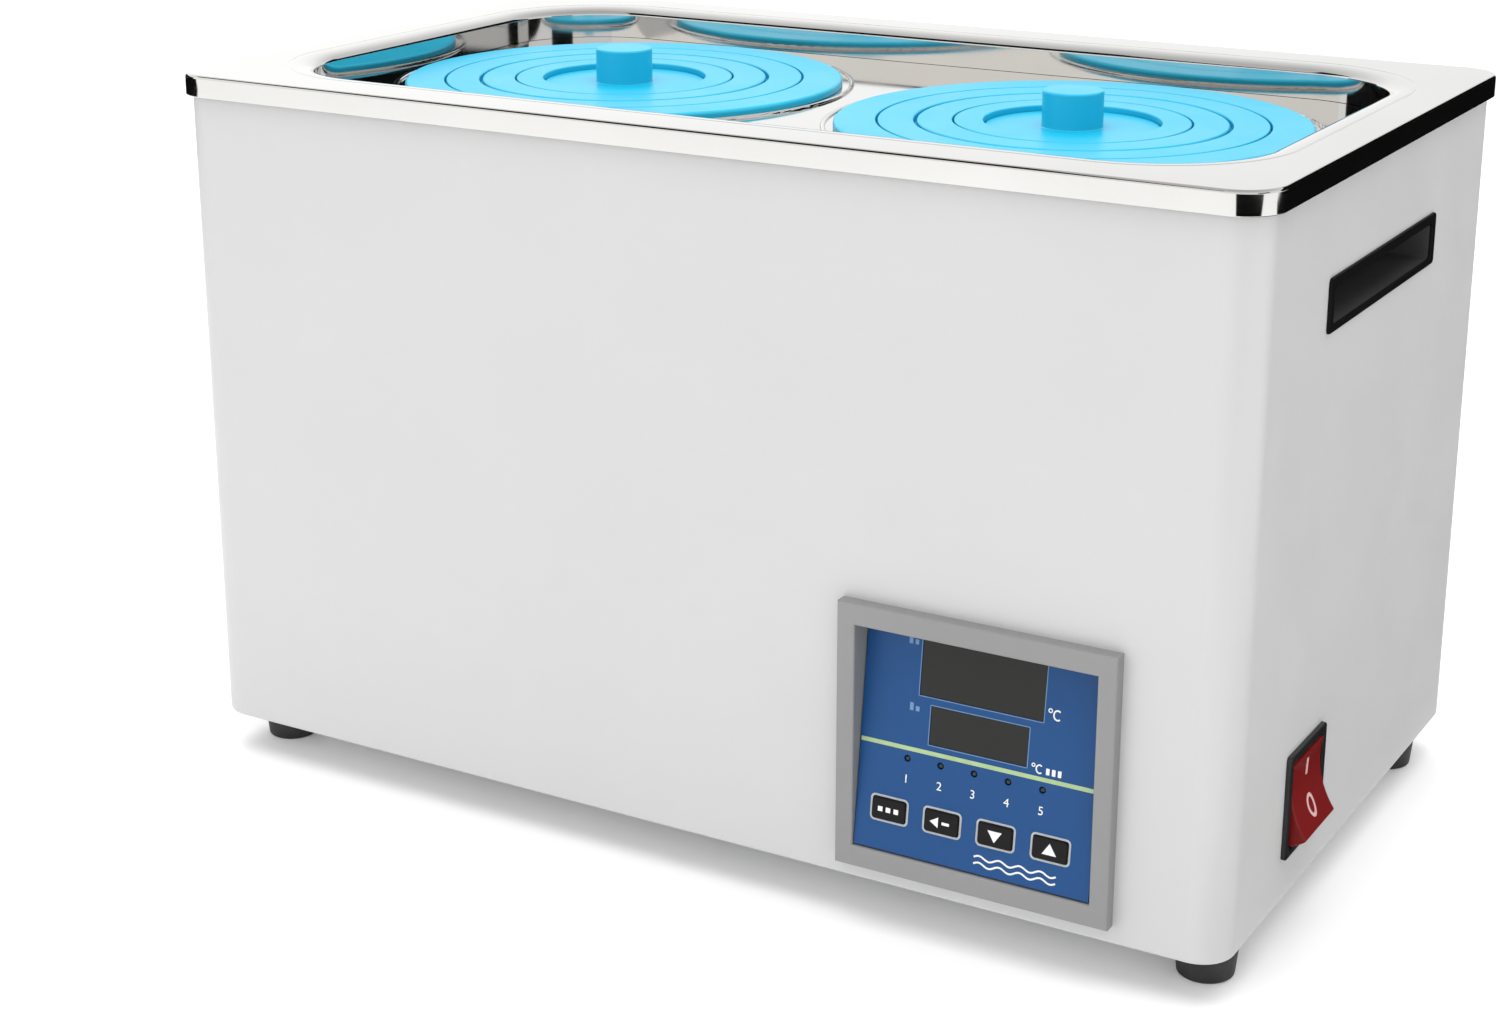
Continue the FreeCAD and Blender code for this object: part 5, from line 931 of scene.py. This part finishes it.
def make_sky():
    """White all round, and in reflections darker overhead and lighter to the left."""
    world = bpy.data.worlds.new("Studio")
    bpy.context.scene.world = world
    world.use_nodes = True
    tree = world.node_tree
    background = tree.nodes["Background"]
    background.inputs["Color"].default_value = (1.0, 1.0, 1.0, 1.0)
    rays = tree.nodes.new("ShaderNodeLightPath")
    sky = tree.nodes.new("ShaderNodeTexCoord")
    axes = tree.nodes.new("ShaderNodeSeparateXYZ")
    tree.links.new(sky.outputs["Generated"], axes.inputs["Vector"])
    glow = tree.nodes.new("ShaderNodeMath")
    glow.operation = "MULTIPLY"
    tree.links.new(map_range(tree, axes.outputs["Z"], *SKY_OVERHEAD), glow.inputs[0])
    tree.links.new(map_range(tree, axes.outputs["X"], *SKY_SIDEWAYS), glow.inputs[1])
    blend = tree.nodes.new("ShaderNodeMix")
    blend.data_type = "FLOAT"
    blend.inputs["A"].default_value = SKY_REST
    tree.links.new(glow.outputs["Value"], blend.inputs["B"])
    tree.links.new(rays.outputs["Is Glossy Ray"], blend.inputs["Factor"])
    tree.links.new(blend.outputs["Result"], background.inputs["Strength"])


make_sky()
area_light("Top_box", (0.0, 0.0, 2.2), target=(0.0, 0.0, 0.0), width=2.6, height=2.6, power=46.0)
area_light("Front_box", (-1.6, -2.4, 1.2), target=(0.0, 0.0, 0.1), width=1.8, height=1.4, power=10.0)
area_light("Side_box", (2.3, -1.0, 0.8), target=(0.17, 0.0, 0.1), width=1.4, height=1.2, power=3.0)

bpy.context.scene.view_settings.view_transform = "Standard"
bpy.context.scene.view_settings.look = "None"

CAMERA_PLACE = (0.37046, -0.68428, 0.34819)
AZIMUTH, ELEVATION, ROLL = 30.488, 16.977, -0.05  # degrees


def make_camera():
    data = bpy.data.cameras.new("Camera")
    data.sensor_width = 36.0
    data.lens = 62.57
    data.shift_x = 0.0032
    data.shift_y = -0.061
    data.clip_start = 0.01
    data.clip_end = 60.0
    camera = bpy.data.objects.new("Camera", data)
    bpy.context.scene.collection.objects.link(camera)
    azimuth, elevation, roll = math.radians(AZIMUTH), math.radians(ELEVATION), math.radians(ROLL)
    ahead = Vector((
        -math.sin(azimuth) * math.cos(elevation),
        math.cos(azimuth) * math.cos(elevation),
        -math.sin(elevation),
    ))
    camera.location = CAMERA_PLACE
    camera.rotation_mode = "QUATERNION"
    tilt = Matrix.Rotation(roll, 3, "Z").to_quaternion()
    camera.rotation_quaternion = ahead.to_track_quat("-Z", "Y") @ tilt
    bpy.context.scene.camera = camera


make_camera()
